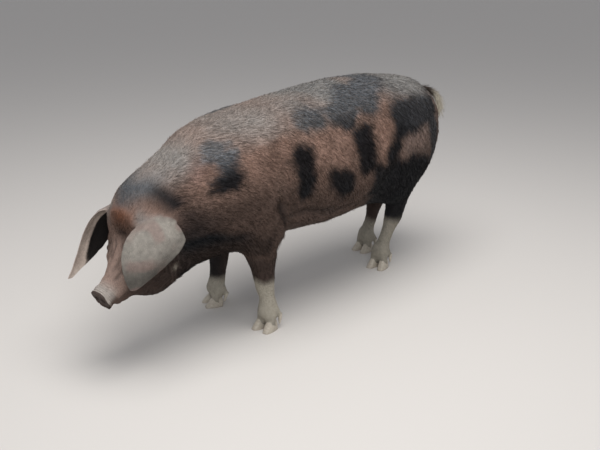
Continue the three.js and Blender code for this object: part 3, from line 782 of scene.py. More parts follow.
def blotched():
    """How far each point lies in a blotch, and how black the blotch is there."""
    warp = 0.045 * (mottle(skin.points, 0.07, 11) - 0.5) + 0.03 * (mottle(skin.points, 0.022, 12) - 0.5)
    warp += 0.022 * (mottle(skin.points, 0.013, 25) - 0.5)
    around = np.radians(girth) * GIRTH_RADIUS
    black = np.zeros(len(skin.points))
    depth = np.ones(len(skin.points))
    for side, blotches in BLOTCHES.items():
        of_side = step(side * side_x, -0.04, 0.02)
        for start, start_angle, stop, stop_angle, half, blackness in blotches:
            here = np.stack([along_y - start, around - math.radians(start_angle) * GIRTH_RADIUS])
            run = np.array([stop - start, math.radians(stop_angle - start_angle) * GIRTH_RADIUS])
            t = np.clip(run @ here / (run @ run), 0, 1)
            off = np.linalg.norm(here - run[:, None] * t, axis=0) - half + warp
            here = of_side * (1 - step(off, -0.028, 0.018))
            depth = np.where(here > black, blackness, depth)
            black = np.maximum(black, here)
    return black, skin.diffused(depth, 8)[:, None]


def black_hair(hide_paint):
    """The blotches, a black throat, and black hair in a band over the nape and behind the ears."""
    black, depth = blotched()
    hide_paint.lay(BLACK * depth + BLUE_DUST_AND_SKY_SHEEN * (1 - depth), black * 0.97)
    throat = step(0.49 - 0.035 * step(along_y, -0.56, -0.46) - height, 0, 0.05) * step(height, 0.2, 0.28)
    throat *= step(-along_y, 0.36, 0.44)
    throat *= step(down_nose, 0.20, 0.25)
    nape = bell(along_y + 0.70 + 0.0021 * (girth - 47), 0.052)
    nape = nape * step(height, 0.50, 0.56) * step(girth, 26, 42)
    behind_ear = 0.8 * bell(along_y + 0.65, 0.11) * step(0.62 - height, 0, 0.08) * step(height, 0.3, 0.36)
    hide_paint.lay(BLACK, np.maximum(throat, np.maximum(0.95 * nape, 0.97 * behind_ear)))
    # Dust and painted sky sheen grey the top of the nape band.
    hide_paint.lay(0.85 * BLUE_DUST_AND_SKY_SHEEN, 0.75 * nape * step(girth, 62, 78))
    return np.maximum(black, np.maximum(throat, np.maximum(nape, behind_ear))), nape


def dark_legs(hide_paint):
    """Dark brown down the legs and chest, black on the hind legs, and black on the right foreleg that is
    partly dark hair and partly painted shade under the body.
    """
    leg = share_of("leg")
    hide_paint.lay(1.1 * DARK_BROWN, leg * step(0.40 - height, 0, 0.08))
    chest = 0.9 * step(0.44 - height, 0, 0.07) * step(height, 0.30, 0.34)
    hide_paint.lay(0.8 * DARK_BROWN, chest * step(-along_y, 0.28, 0.34))
    hind = 0.9 * share_of("leg", "ham") * step(along_y, 0.25, 0.32)
    hide_paint.lay(BLACK, hind * step(0.44 - height, 0, 0.06) * step(side_x, -0.05, 0.0))
    # The right foreleg's black is partly its dark hair and partly painted shade under the body.
    right_fore_black_and_shade = 0.8 * leg * step(-along_y, 0.2, 0.3) * step(-side_x, 0, 0.04)
    hide_paint.lay(BLACK, right_fore_black_and_shade * step(0.42 - height, 0, 0.08))


def dust_and_sky_sheen(hide_paint, black, nape):
    """Pale dust and painted sky sheen where the hair faces up, most on the neck and rump, and least on black
    hair.
    """
    # Dust and painted sky sheen: the hair is laid paler the more it faces up.
    upward = step(normals[:, 2], 0.35, 0.95)
    forward = 1 - step(along_y, -0.35, 0.75) * 0.62
    dust_and_sheen = upward * forward * (0.55 + 0.5 * mottle(skin.points, 0.12, 14)) * (height > 0.45)
    dust_and_sheen *= 1 - black * np.maximum(0.72 * step(along_y, -0.2, 0.0), 0.85 * nape)
    hide_paint.lay(DUST_AND_SKY_SHEEN, dust_and_sheen * 0.85 * share_of("trunk", "neck", "ham", "head"))
    # Painted sky sheen: black hair that faces up is laid blue-grey.
    hide_paint.lay(BLUE_DUST_AND_SKY_SHEEN, black * step(upward, 0.25, 1.0) * (1 - nape) * 0.55)
    rump = 0.85 * step(along_y, 0.48, 0.58) * step(upward, 0.40, 0.85)
    hide_paint.lay(1.25 * DUST_AND_SKY_SHEEN, rump * (1 - step(along_y, 0.72, 0.8)))
    hide_paint.lay(DUST_AND_SKY_SHEEN, 0.8 * bell(along_y + 0.62, 0.05) * step(girth, 50, 70))
    poll = bell(down_nose - 0.272, 0.034) * step(np.abs(side_x - 0.012), 0.045, 0.07)
    hide_paint.lay(DUST_AND_SKY_SHEEN, 0.85 * (poll * step(off_nose, 0.05, 0.08)) * share_of("head", "neck"))
    hide_paint.lay(SLATE, 0.35 * step(along_y, 0.38, 0.5) * step(girth, -20, 0) * (1 - black))
    rosy = bell(np.hypot(along_y + 0.585, (girth - 54) / 300), 0.035)
    hide_paint.lay(0.8 * PINK, 0.45 * rosy)


def face(hide_paint):
    """Sandy hair down the face, dark brown hair on the cheeks, a dark and a ginger tuft, and painted shade:
    black in the folds and the elbow creases, dark brown round the eyes, and more dark brown on the cheeks
    under the ears.
    """
    head = share_of("head")
    front = head * (1 - step(down_nose, 0.18, 0.24)) * step(off_nose, -0.045, 0.0)
    hide_paint.lay(FACE, front * (0.8 + 0.2 * grey))
    # The cheeks are dark brown hair, laid darker still as painted shade under the ears.
    cheek = head * step(-off_nose, -0.02, 0.05) * step(down_nose, 0.06, 0.12)
    hide_paint.lay(DARK_BROWN, cheek * 0.85)
    chin_fleck = bell(np.linalg.norm(skin.points * [0, 1, 1] - [0, -0.704, 0.36], axis=1), 0.012)
    hide_paint.lay(CREAM, 0.4 * chin_fleck * head)
    tuft_wide = bell(side_x - 0.012, 0.05)
    for tone, back, long in ((DARK_BROWN, 0.226, 0.016), (GINGER, 0.262, 0.020)):
        tuft_here = bell(down_nose - back, long) * step(off_nose, 0.05, 0.08) * tuft_wide
        hide_paint.lay(tone, tuft_here * share_of("head", "neck"))
    # Painted shade: black in the folds down the face.
    hide_paint.lay(BLACK, 0.33 * fold_shade * head)
    # Painted shade: black along the elbow creases and under the sagging skin behind them.
    hide_paint.lay(BLACK, 0.8 * crease_shade)
    # Painted shade: dark brown in the hollows round the eyes.
    socket_shade = sum(bell(np.linalg.norm(skin.points - centre_of(eye), axis=1), 0.026) for eye in EYE_SIDES)
    hide_paint.lay(DARK_BROWN, 0.75 * (kind != "ear") * socket_shade * head)
    hide_paint.lay(BLACK, 0.8 * np.clip(1.6 * skin.diffused(eyelids, 2), 0, 1))
    muzzle = share_of("snout", "head") * (1 - step(down_nose, 0.03, 0.08))
    hide_paint.lay(SNOUT_PALE, muzzle * step(off_nose, -0.02, 0.01) * 0.95)
    # Painted shade: dark brown streaks where the skin folds down the face.
    fold = step(np.abs(across_face), 0.0, 0.02) * bell(mottle(skin.points, 0.03, 17) - 0.5, 0.08)
    hide_paint.lay(DARK_BROWN, 0.35 * fold * head * step(down_nose, 0.08, 0.12) * (1 - step(down_nose, 0.2, 0.23)))


def snout_disc(hide_paint):
    """The dark bare plate of the snout, made darker still as painted shade where it faces down, and black
    painted shade in its nostrils.
    """
    d = skin.points - DISC_CENTRE
    away = np.linalg.norm(d, axis=1)
    on_disc = step(d @ DISC_OUT, -0.006, -0.002) * (1 - step(np.hypot(d[:, 0], d @ DISC_UP), 0.040, 0.043))
    hide_paint.lay(DISC_SKIN_AND_SHADE, 0.95 * on_disc * (away < 0.06))
    nostril = np.hypot(np.abs(d[:, 0]) - NOSTRIL_ASIDE, d @ DISC_UP - NOSTRIL_UP)
    # Painted shade: black in the open nostrils.
    hide_paint.lay(BLACK, 0.9 * bell(nostril, 0.009) * (away < 0.05))


def ear_skins(hide_paint):
    """Grey-pink outer faces, black painted shade in the hollows, a pale rim on the left ear, and on the
    right ear a pale band at the front made paler still as painted sky light.
    """
    ear = share_of("ear")
    cloud = mottle(skin.points, 0.05, 18)
    speckle = 0.80 + 0.24 * mottle(skin.points, 0.011, 23) + 0.16 * mottle(skin.points, 0.006, 24)
    for node, (outer_face, from_front, to_tip) in ears.items():
        left = node == "ear_left"
        mine = ear * (owner == node)
        dim = 1 - (0.60 * step(ear_reach, 0.12, 0.21) + 0.25 * step(from_front, 0.08, 0.15)) * left
        dim *= speckle
        hide_paint.lay(EAR_SKINS[node] * (0.72 + 0.45 * cloud[:, None]) * dim[:, None], mine)
        hide_paint.lay(PINK * 0.6, 0.5 * mine * step(mottle(skin.points, 0.045, 19), 0.45, 0.75))
        inside = 1 - outer_face
        # Painted sky light: the band on the right ear's rolled front edge is laid pale.
        hide_paint.lay(EAR_BAND_AND_SKY_LIGHT, 0.75 * mine * inside * (not left) * (0.6 + 0.4 * cloud))
        # Painted shade: the hollow of each ear behind its band is laid nearly black.
        hollow_shade = step(from_front - band_width(ear_reach), -0.003, 0.004) * (1 - step(to_tip, 0.60, 0.78))
        hide_paint.lay(EAR_HOLLOW_SHADE, 0.98 * mine * (1 - outer_face ** 2) * hollow_shade)
        hide_paint.lay(EAR_RIM, 0.7 * mine * rim * left)


def socks(hide_paint):
    """Cream socks, stained where they meet the horn."""
    for (end, side), top in SOCKS.items():
        this_leg = (along_y < 0) == (end == "fore")
        this_leg &= side * side_x > 0
        sock = this_leg * share_of("leg", *FEET) * step(top + 0.03 * (grey - 0.5) - height, 0, 0.045)
        hide_paint.lay(CREAM * (0.8 if end == "fore" else 0.66), sock)
    hide_paint.lay(DARK_BROWN, 0.25 * share_of(*FEET) * step(0.05 - height, 0, 0.03))


def tail_hair(hide_paint):
    """A dark dock and a cream switch."""
    tail = share_of("tail")
    hide_paint.lay(DARK_BROWN, 0.9 * tail)
    hide_paint.lay(CREAM, 0.95 * tail * step(tail_reach, 0.05, 0.10))


hide_paint = HidePaint(ground_hair())
black, nape = black_hair(hide_paint)
dark_legs(hide_paint)
dust_and_sky_sheen(hide_paint, black, nape)
face(hide_paint)
snout_disc(hide_paint)
ear_skins(hide_paint)
socks(hide_paint)
tail_hair(hide_paint)
# The hide's colour: its markings with the painted light and shade laid in.
pelt = np.clip(hide_paint.colour, 0.004, 1)

# What a mesh calls the values of each kind, and the numbers they are held in.
LAYERS = {
    "FLOAT": ("value", np.float32), "INT": ("value", np.int32),
    "FLOAT_VECTOR": ("vector", np.float32), "FLOAT_COLOR": ("color", np.float32),
}


def store(mesh, name, values, kind_of, domain="POINT"):
    key, number = LAYERS[kind_of]
    layer = mesh.attributes.new(name, kind_of, domain)
    layer.data.foreach_set(key, np.ascontiguousarray(values, dtype=number).ravel())


def store_colour(mesh, name, colours):
    store(mesh, name, np.column_stack([colours, np.ones(len(colours))]), "FLOAT_COLOR")


store_colour(hide.data, "pelt", pelt)
bare = np.clip(share_of("snout", "ear", "eye", *FEET) + 0.5 * share_of("head"), 0, 1)
store(hide.data, "bare", bare, "FLOAT")


class Look:
    """Nodes of one material, added and joined by short calls. An input is given by its name,
    or as i0, i1 and so on where several share one."""

    def __init__(self, name, roughness=0.7):
        self.material = material(name, (0.5, 0.5, 0.5, 1), roughness)
        self.tree = self.material.node_tree
        self.shader = self.tree.nodes["Principled BSDF"]

    def add(self, node, settings=None, **inputs):
        made = self.tree.nodes.new("ShaderNode" + node)
        for key, value in (settings or {}).items():
            setattr(made, key, value)
        for key, value in inputs.items():
            numbered = key[0] == "i" and key[1:].isdigit()
            self.put(value, made.inputs[int(key[1:]) if numbered else key])
        return made

    def put(self, value, socket):
        if isinstance(value, bpy.types.NodeSocket):
            self.tree.links.new(value, socket)
        else:
            socket.default_value = value

    def attribute(self, name, output="Color"):
        return self.add("Attribute", {"attribute_name": name}).outputs[output]

    def place(self, stretch=(1, 1, 1)):
        where = self.add("TexCoord").outputs["Object"]
        return self.add("Mapping", None, Vector=where, Scale=stretch).outputs["Vector"]

    def noise(self, scale, detail=3, stretch=(1, 1, 1)):
        made = self.add("TexNoise", None, Vector=self.place(stretch), Scale=scale, Detail=detail)
        return made.outputs["Fac"]

    def math(self, operation, a, b):
        return self.add("Math", {"operation": operation}, i0=a, i1=b).outputs[0]

    def range(self, value, low, high, to_low, to_high):
        made = self.add("MapRange", None, i0=value, i1=low, i2=high, i3=to_low, i4=to_high)
        return made.outputs[0]

    def mix(self, factor, a, b, blend="MIX"):
        made = self.add("Mix", {"data_type": "RGBA", "blend_type": blend})
        self.put(factor, made.inputs[0])
        self.put(a, made.inputs[6])
        self.put(b, made.inputs[7])
        return made.outputs[2]

    def bump(self, height, strength, distance, before=None):
        made = self.add("Bump", None, Height=height, Strength=strength, Distance=distance)
        if before is not None:
            self.put(before, made.inputs["Normal"])
        return made.outputs["Normal"]

    def set(self, **inputs):
        for key, value in inputs.items():
            self.put(value, self.shader.inputs[key.replace("_", " ")])
        return self.material


hide_look = Look("hide", 0.72)
streaks = hide_look.noise(420, 4, (1, 0.3, 0.5))
pores = hide_look.add("TexVoronoi", None, Vector=hide_look.place(), Scale=330.0).outputs["Distance"]
creases = hide_look.noise(70, 5)
haired = hide_look.range(streaks, 0.3, 0.7, 0.62, 1.35)
smooth = hide_look.range(creases, 0.3, 0.7, 0.84, 1.14)
tone = hide_look.mix(hide_look.attribute("bare", "Fac"), haired, smooth)
tinted = hide_look.mix(1.0, hide_look.attribute("pelt"), tone, "MULTIPLY")
uneven = hide_look.bump(streaks, 0.35, 0.0012)
uneven = hide_look.bump(pores, 0.25, 0.0006, uneven)
uneven = hide_look.bump(creases, 0.3, 0.003, uneven)
roughness = hide_look.range(creases, 0.3, 0.7, 0.6, 0.85)
hide_look.set(Base_Color=tinted, Normal=uneven, Roughness=roughness, Specular_IOR_Level=0.22)
hide.data.materials.clear()
hide.data.materials.append(hide_look.material)


def shaded_smooth(mesh):
    mesh.polygons.foreach_set("use_smooth", np.ones(len(mesh.polygons), bool))


shaded_smooth(hide.data)

# The hide's own unwrap, which the coat's tufts take their places on.
bpy.context.view_layer.objects.active = hide
hide.select_set(True)
bpy.ops.object.mode_set(mode="EDIT")
bpy.ops.mesh.select_all(action="SELECT")
bpy.ops.uv.smart_project(angle_limit=math.radians(66), island_margin=0.002)
bpy.ops.object.mode_set(mode="OBJECT")
hide.data.uv_layers[0].name = "OFBake"

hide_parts(*[n for n in flesh_nodes if family(n) != "eye"])
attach(hide, "root")

# ------------------------------------------------------------------ eyes
# Dark wet balls with a brown iris, each set in its lids and looking out to the side.
PUPIL = (0.004, 0.004, 0.005)
# Rings from the middle of the pupil out, each by how far it lies from there and its colour.
GAZE_RINGS = (
    (0.0, PUPIL),
    (0.19, PUPIL),
    (0.22, (0.075, 0.034, 0.014)),       # iris
    (0.40, (0.11, 0.055, 0.022)),
    (0.47, (0.012, 0.007, 0.006)),       # its dark edge
    (0.56, (0.20, 0.15, 0.12)),          # white of the eye, which is mostly hidden
    (1.0, (0.26, 0.17, 0.14)),
)

eye_look = Look("eye", 0.05)
ring = eye_look.add("ValToRGB", None, Fac=eye_look.attribute("gaze", "Fac"))
ring.color_ramp.elements.remove(ring.color_ramp.elements[1])
for place, colour in GAZE_RINGS[1:]:
    ring.color_ramp.elements.new(place).color = (*colour, 1)
ring.color_ramp.elements[0].color = (*GAZE_RINGS[0][1], 1)
flecks = eye_look.range(eye_look.noise(900, 3), 0.3, 0.7, 0.65, 1.4)
eye_look.set(Base_Color=eye_look.mix(1.0, ring.outputs[0], flecks, "MULTIPLY"), Coat_Weight=1.0)
for eye, side in EYE_SIDES.items():
    ball = bmesh.new()
    bmesh.ops.create_uvsphere(ball, u_segments=48, v_segments=32, radius=EYE_RADIUS)
    mesh = bpy.data.meshes.new(eye + "ball")
    ball.to_mesh(mesh)
    ball.free()
    round_points = column(mesh.vertices, "co", 3)
    turned = round_points @ gaze(side) / EYE_RADIUS
    store(mesh, "gaze", np.arccos(np.clip(turned, -1, 1)) / math.pi * 1.6, "FLOAT")
    mesh.vertices.foreach_set("co", (round_points + centre_of(eye)).ravel())
    shaded_smooth(mesh)
    piece = shown(eye + "ball", mesh, eye_look.material)
    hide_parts(eye)
    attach(piece, "root")

# ------------------------------------------------------------------ hooves
# Two pale horn toes on each foot and two dewclaws behind, growing out of the skin. Growth
# rings run round them, and the ground has worn and stained their lower edges.
HORN = (0.47, 0.42, 0.345, 1)
HORN_STAIN = (0.23, 0.185, 0.145, 1)
HORN_ROUNDING = 3
RING_PITCH = math.tau / 1150     # from one growth ring to the next
STAIN_TOP = 0.022                # height up to which the ground stains the horn
ON_FLOOR = 1e-4

horn = Look("horn", 0.5)
level = horn.add("SeparateXYZ", None, Vector=horn.place()).outputs["Z"]
wobble = horn.math("MULTIPLY", horn.noise(34, 4), 0.02)
rings = horn.math("SINE", horn.math("MULTIPLY", horn.math("ADD", level, wobble), math.tau / RING_PITCH), 0.0)
stain = horn.range(horn.noise(110, 6), 0.40, 0.70, 0.0, 0.45)
low = horn.range(horn.math("ADD", level, wobble), 0.0, STAIN_TOP, 0.6, 0.0)
dirty = horn.mix(horn.math("MAXIMUM", stain, low), HORN, HORN_STAIN)
banded = horn.range(rings, -1.0, 1.0, 0.965, 1.02)
dirty = horn.mix(1.0, dirty, banded, "MULTIPLY")
ridged = horn.bump(rings, 0.25, 0.0004)
ridged = horn.bump(horn.noise(500, 4, (1, 1, 0.15)), 0.3, 0.0006, ridged)
horn.set(Base_Color=dirty, Normal=ridged, Roughness=horn.range(stain, 0, 0.7, 0.42, 0.75))


def rounded(node):
    """A smoother copy of a claw, still flat where it stands."""
    work = bmesh.new()
    work.from_mesh(frame["nodes"][node].data)
    bmesh.ops.remove_doubles(work, verts=work.verts, dist=WELDED)
    sharp = work.edges.layers.float.new("crease_edge")
    for edge in work.edges:
        edge[sharp] = float(all(v.co.z < ON_FLOOR for v in edge.verts))
    mesh = bpy.data.meshes.new(node + "_horn")
    work.to_mesh(mesh)
    work.free()
    piece = shown(node + "_horn", mesh, horn.material)
    smooth = piece.modifiers.new("rounded", "SUBSURF")
    smooth.levels = smooth.render_levels = HORN_ROUNDING
    piece.data = settled(piece)
    piece.modifiers.clear()
    shaded_smooth(piece.data)
    return piece


for node in claw_nodes:
    claw = rounded(node)
    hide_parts(node)
    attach(claw, "root")

# ------------------------------------------------------------------ the lie of the coat
# Bristles run back from the snout, over the head and neck, and down the sides to the
# legs. They are longest on the tail, body and forehead, and shortest on the ears and feet.
# Each kind of node has their length, how steeply they stand up, and how thickly they grow.
LENGTH = {
    "trunk": 0.025, "neck": 0.026, "ham": 0.024, "leg": 0.017, "foot": 0.008, "head": 0.011,
    "snout": 0.005, "ear": 0.0055, "eye": 0.004, "tail": 0.032, "hoof": 0.005, "dewclaw": 0.005,
}
LIFT = {
    "trunk": 0.040, "neck": 0.050, "ham": 0.040, "leg": 0.05, "foot": 0.04,
    "head": 0.07, "snout": 0.2, "ear": 0.02, "eye": 0.1, "tail": 0.22, "hoof": 0.04, "dewclaw": 0.04,
}
COVER = {
    "trunk": 1.0, "neck": 1.0, "ham": 1.0, "leg": 1.0, "foot": 1.0,
    "head": 1.0, "snout": 0.0, "ear": 1.0, "eye": 0.0, "tail": 1.0, "hoof": 0.5, "dewclaw": 0.0,
}


def lie_of_coat():
    """The way in which the hair lies at each point of the hide."""
    fall = 0.75 + 0.9 * step(along_y, -0.45, 0.10) + 1.0 * step(along_y, 0.5, 0.85)
    body_way = np.stack([np.zeros_like(fall), np.ones_like(fall), -fall], axis=1)
    neck_way = np.array([0, 1, -0.45])
    leg_way = np.array([0, 0.18, -1])
    face_way = np.array([0, 1, 0.12]) @ HEAD
    parts = (
        (body_way, share_of("trunk", "ham")),
        (neck_way, share_of("neck")),
        (leg_way, share_of("leg", *FEET)),
        (face_way, share_of("head", "snout", "eye")),
        (uphill(ear_reach, "ear"), share_of("ear")),
        (uphill(tail_reach, "tail") + np.array([0, -0.25, -0.8]), share_of("tail")),
    )
    way = sum(unit(np.broadcast_to(each, skin.points.shape)) * share[:, None] for each, share in parts)
    fringe = step(brow, 0.2, 0.5)[:, None]
    way = way * (1 - fringe) - (face_way + [0, 0, 0.4]) * fringe
    swirl = np.stack([mottle(skin.points, 0.09, 21 + k) for k in range(3)], axis=1) - 0.5
    way = unit(way) + 0.55 * swirl
    way = way - normals * np.sum(way * normals, axis=1, keepdims=True)
    return unit(skin.diffused(unit(way), 3))


ridge = step(normals[:, 2], 0.75, 1.0) * share_of("trunk", "neck", "ham")
brow = bell(down_nose - 0.256, 0.028) * step(off_nose, 0.05, 0.09) * bell(across_face - 0.012, 0.055)
brow *= share_of("head", "neck")
switch = share_of("tail") * step(tail_reach, 0.05, 0.12)
jowl = share_of("head") * step(down_nose, 0.13, 0.19) * step(-off_nose, 0.0, 0.05)
growth = skin.diffused(by_kind(LENGTH), 6) - 0.004 * ridge + 0.016 * brow + 0.007 * jowl + 0.014 * switch
growth *= 1 - 0.55 * share_of("leg", *FEET) * step(0.27 - height, 0, 0.1)
growth *= 1 - 0.6 * share_of("head", "snout") * (1 - step(down_nose, 0.05, 0.14))
lift = skin.diffused(by_kind(LIFT), 6) + 0.02 * ridge + 0.22 * brow + 0.2 * switch
cover = skin.diffused(by_kind(COVER), 2)
cover *= 1 - 0.45 * (kind == "ear") * (1 - rim)
for node in claw_nodes:
    low, high = (np.array(corner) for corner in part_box(node))
    in_horn = np.all((skin.points > low - 0.004) & (skin.points < high + 0.004), axis=1)
    cover[in_horn & (height_in(node, height) < 0.8)] = 0
cover *= 1 - (1 - step(down_nose, 0.03, 0.075)) * share_of("head", "snout")
below = step(-normals[:, 2], 0.5, 0.9) * share_of("trunk")
cover *= 1 - 0.45 * below
cover *= 1 - np.clip(2 * skin.diffused(eyelids, 2), 0, 1)

# Each tuft has some hairs of the colour of the skin below it, and some of a lighter glint. In pale
# zones, and most on the ears and feet, both are made lighter still as painted light, to make up
# for the shade on the thin hairs.
lightness = pelt.mean(axis=1)
bright = step(lightness, 0.015, 0.09)[:, None]
fair = np.clip(step(lightness, 0.12, 0.26) + share_of("ear", *FEET), 0, 1)
red = step(pelt[:, 0] / np.maximum(pelt[:, 2], 0.01), 2.6, 4.0)
paler = bright * (1 - 0.75 * fair[:, None]) * (1 - 0.8 * red[:, None])
glint = pelt * (1.3 + 0.4 * red + 0.4 * fair)[:, None] + np.array([0.13, 0.10, 0.08]) * paler + 0.001

store(hide.data, "lie", lie_of_coat(), "FLOAT_VECTOR")
store(hide.data, "growth", growth, "FLOAT")
store(hide.data, "lift", lift, "FLOAT")
store(hide.data, "cover", cover, "FLOAT")
# How much painted light the darker hairs get: most on the ears.
store(hide.data, "fair", fair * (0.57 + 0.43 * share_of("ear")), "FLOAT")
store_colour(hide.data, "glint", glint)

# ------------------------------------------------------------------ bristles
# Each tuft is a few stiff hairs from one spot of skin: thin closed spindles, bent a little
# back to the body, some dark and some light.
HAIR = 0.028              # length of a hair before it is scaled to its place
HAIR_HALF_WIDTH = 0.00070
TUFT_SPREAD = 0.0034      # half the width of a tuft
TUFT_HAIRS = 4
TUFT_KINDS = 8
WIDEST = 0.45             # how far up a hair is widest


def tuft(seed):
    """One kind of tuft: hairs of five points, with a shade each and a place on the unwrap."""
    dice = np.random.default_rng(seed)
    points, faces, shade, along, leaf = [], [], [], [], []
    for k in range(TUFT_HAIRS):
        root = np.array([-0.0006, dice.uniform(-1, 1) * TUFT_SPREAD, dice.uniform(-0.3, 0.3) * HAIR])
        length = HAIR * dice.uniform(0.65, 1.1)
        bend = np.array([dice.uniform(0.0006, 0.0016), dice.normal(0, 0.0007), 0.42 * length])
        tip = np.array([dice.uniform(-0.0012, 0.0014), dice.normal(0, 0.0021), length])
        wide = HAIR_HALF_WIDTH * dice.uniform(0.7, 1.25)
        turn = dice.uniform(0, math.tau)
        first = len(points)
        points.append(root)
        for corner in range(3):
            angle = turn + corner * math.tau / 3
            points.append(root + bend + wide * np.array([math.cos(angle), math.sin(angle), 0]))
        points.append(root + tip)
        for corner in range(3):
            a, b = first + 1 + corner, first + 1 + (corner + 1) % 3
            faces += [(a, b, first + 4), (b, a, first)]
        shade += [dice.uniform(0, 1)] * 5
        along += [0.0, WIDEST, WIDEST, WIDEST, 1.0]
        leaf += [((k + 0.5) / TUFT_HAIRS - 0.5, v - 0.5, 0) for v in (0.1, 0.5, 0.5, 0.5, 0.9)]
    mesh = bpy.data.meshes.new(f"tuft_{seed}")
    mesh.from_pydata([tuple(p) for p in points], [], faces)
    shaded_smooth(mesh)
    store(mesh, "shade", shade, "FLOAT")
    store(mesh, "along", along, "FLOAT")
    store(mesh, "leaf", leaf, "FLOAT_VECTOR")
    return bpy.data.objects.new(f"tuft_{seed}", mesh)


tufts = bpy.data.collections.new("tufts")
for seed in range(TUFT_KINDS):
    tufts.objects.link(tuft(seed))

bristle = Look("bristle", 0.48)
mixed = bristle.math("ADD", bristle.math("MULTIPLY", bristle.attribute("shade", "Fac"), 0.7),
                     bristle.math("MULTIPLY", bristle.attribute("lot", "Fac"), 0.42))
light = bristle.range(mixed, 0.3, 0.95, 0.0, 1.0)
# Painted light: the darker hairs are 0.6 of the skin's colour where the hide is dark, but where it is pale,
# and most on the ears, they are laid up to nearly twice it, to make up for the shade on the thin hairs.
dark_hair_and_painted_light = bristle.range(bristle.attribute("fair", "Fac"), 0.0, 1.0, 0.6, 1.95)
dark_hair = bristle.mix(1.0, bristle.attribute("pelt"), dark_hair_and_painted_light, "MULTIPLY")
hair_tone = bristle.mix(light, dark_hair, bristle.attribute("glint"))
tip = bristle.math("MULTIPLY", bristle.range(bristle.attribute("along", "Fac"), 0.2, 1.0, 0.0, 0.5), light)
tip_tone = bristle.mix(1.0, bristle.attribute("glint"), (1.3, 1.28, 1.2, 1), "MULTIPLY")
hair_tone = bristle.mix(tip, hair_tone, tip_tone)
grain = bristle.noise(1500, 2, (1, 1, 0.2))
gloss = bristle.range(grain, 0.3, 0.7, 0.4, 0.6)
scaly = bristle.bump(grain, 0.2, 0.0002)
bristle.set(Base_Color=hair_tone, Specular_IOR_Level=0.1, Roughness=gloss, Normal=scaly)


class Tree:
    """A Geometry Nodes tree with named inputs, built by short calls."""

    def __init__(self, name):
        self.tree = bpy.data.node_groups.new(name, "GeometryNodeTree")
        self.tree.interface.new_socket("Geometry", in_out="INPUT", socket_type="NodeSocketGeometry")
        self.tree.interface.new_socket("Geometry", in_out="OUTPUT", socket_type="NodeSocketGeometry")
        self.socket_shade = {}
        self.entry = self.tree.nodes.new("NodeGroupInput")

    def input(self, name, kind):
        made = self.tree.interface.new_socket(name, in_out="INPUT", socket_type="NodeSocket" + kind)
        self.socket_shade[name] = made.identifier
        return self.entry.outputs[name]

    def add(self, kind, settings=None, inputs=None):
        made = self.tree.nodes.new(kind)
        for key, value in (settings or {}).items():
            setattr(made, key, value)
        for key, value in (inputs or {}).items():
            if isinstance(value, bpy.types.NodeSocket):
                self.tree.links.new(value, made.inputs[key])
            else:
                made.inputs[key].default_value = value
        return made

    def named(self, name, kind="FLOAT"):
        made = self.add("GeometryNodeInputNamedAttribute", {"data_type": kind}, {"Name": name})
        return made.outputs["Attribute"]

    def math(self, operation, a, b):
        return self.add("ShaderNodeMath", {"operation": operation}, {0: a, 1: b}).outputs[0]

    def vector(self, operation, a, b):
        return self.add("ShaderNodeVectorMath", {"operation": operation}, {0: a, 1: b}).outputs[0]

    def scaled(self, vector, factor):
        made = self.add("ShaderNodeVectorMath", {"operation": "SCALE"}, {0: vector, "Scale": factor})
        return made.outputs[0]

    def random(self, low, high, seed):
        made = self.add("FunctionNodeRandomValue", {"data_type": "FLOAT"}, {2: low, 3: high, "Seed": seed})
        return made.outputs[1]

    def stored(self, geometry, name, value, kind, domain="POINT"):
        made = self.add("GeometryNodeStoreNamedAttribute", {"data_type": kind, "domain": domain},
                        {"Geometry": geometry, "Name": name, "Value": value})
        return made.outputs[0]


LEAF_PATCH = 0.003        # width of a tuft's place on the unwrap of the hide
CROWDING = 2.2            # more roots than the spacing leaves room for, so that none is missing
STRAYING = 0.16           # how far hairs stray from the lie of the coat

coat = Tree("coat of tufts")
patch = coat.input("Patch", "Int")
spacing = coat.input("Spacing", "Float")
width = coat.input("Width", "Float")
straying = coat.input("Straying", "Float")
kinds = coat.input("Tufts", "Collection")
finish = coat.input("Material", "Material")
in_patch = coat.add("FunctionNodeCompare", {"data_type": "INT", "operation": "EQUAL"},
                    {2: coat.named("patch", "INT"), 3: patch}).outputs[0]
most = coat.math("DIVIDE", CROWDING, coat.math("MULTIPLY", spacing, spacing))
roots = coat.add("GeometryNodeDistributePointsOnFaces", {"distribute_method": "POISSON"}, {
    "Mesh": coat.entry.outputs["Geometry"], "Selection": in_patch, "Distance Min": spacing,
    "Density Max": most, "Density Factor": coat.named("cover"), "Seed": 7})
stray = coat.add("FunctionNodeRandomValue", {"data_type": "FLOAT_VECTOR"},
                 {0: (-1, -1, -1), 1: (1, 1, 1), "Seed": 11}).outputs[0]
way = coat.vector("ADD", coat.named("lie", "FLOAT_VECTOR"), coat.scaled(stray, straying))
rise = coat.math("MULTIPLY", coat.named("lift"), coat.random(0.45, 1.7, 12))
way = coat.vector("ADD", way, coat.scaled(roots.outputs["Normal"], rise))
turned = coat.add("FunctionNodeAxesToRotation", {"primary_axis": "Z", "secondary_axis": "X"},
                  {"Primary Axis": way, "Secondary Axis": roots.outputs["Normal"]})
long = coat.math("MULTIPLY", coat.math("DIVIDE", coat.named("growth"), HAIR), coat.random(0.75, 1.2, 13))
size = coat.add("ShaderNodeCombineXYZ", None, {"X": width, "Y": width, "Z": long})
points = coat.stored(roots.outputs["Points"], "root", coat.named("OFBake", "FLOAT_VECTOR"), "FLOAT_VECTOR")
points = coat.stored(points, "lot", coat.random(0.0, 1.0, 14), "FLOAT")
choice = coat.add("GeometryNodeCollectionInfo", {"transform_space": "ORIGINAL"}, {
    "Collection": kinds, "Separate Children": True, "Reset Children": True})
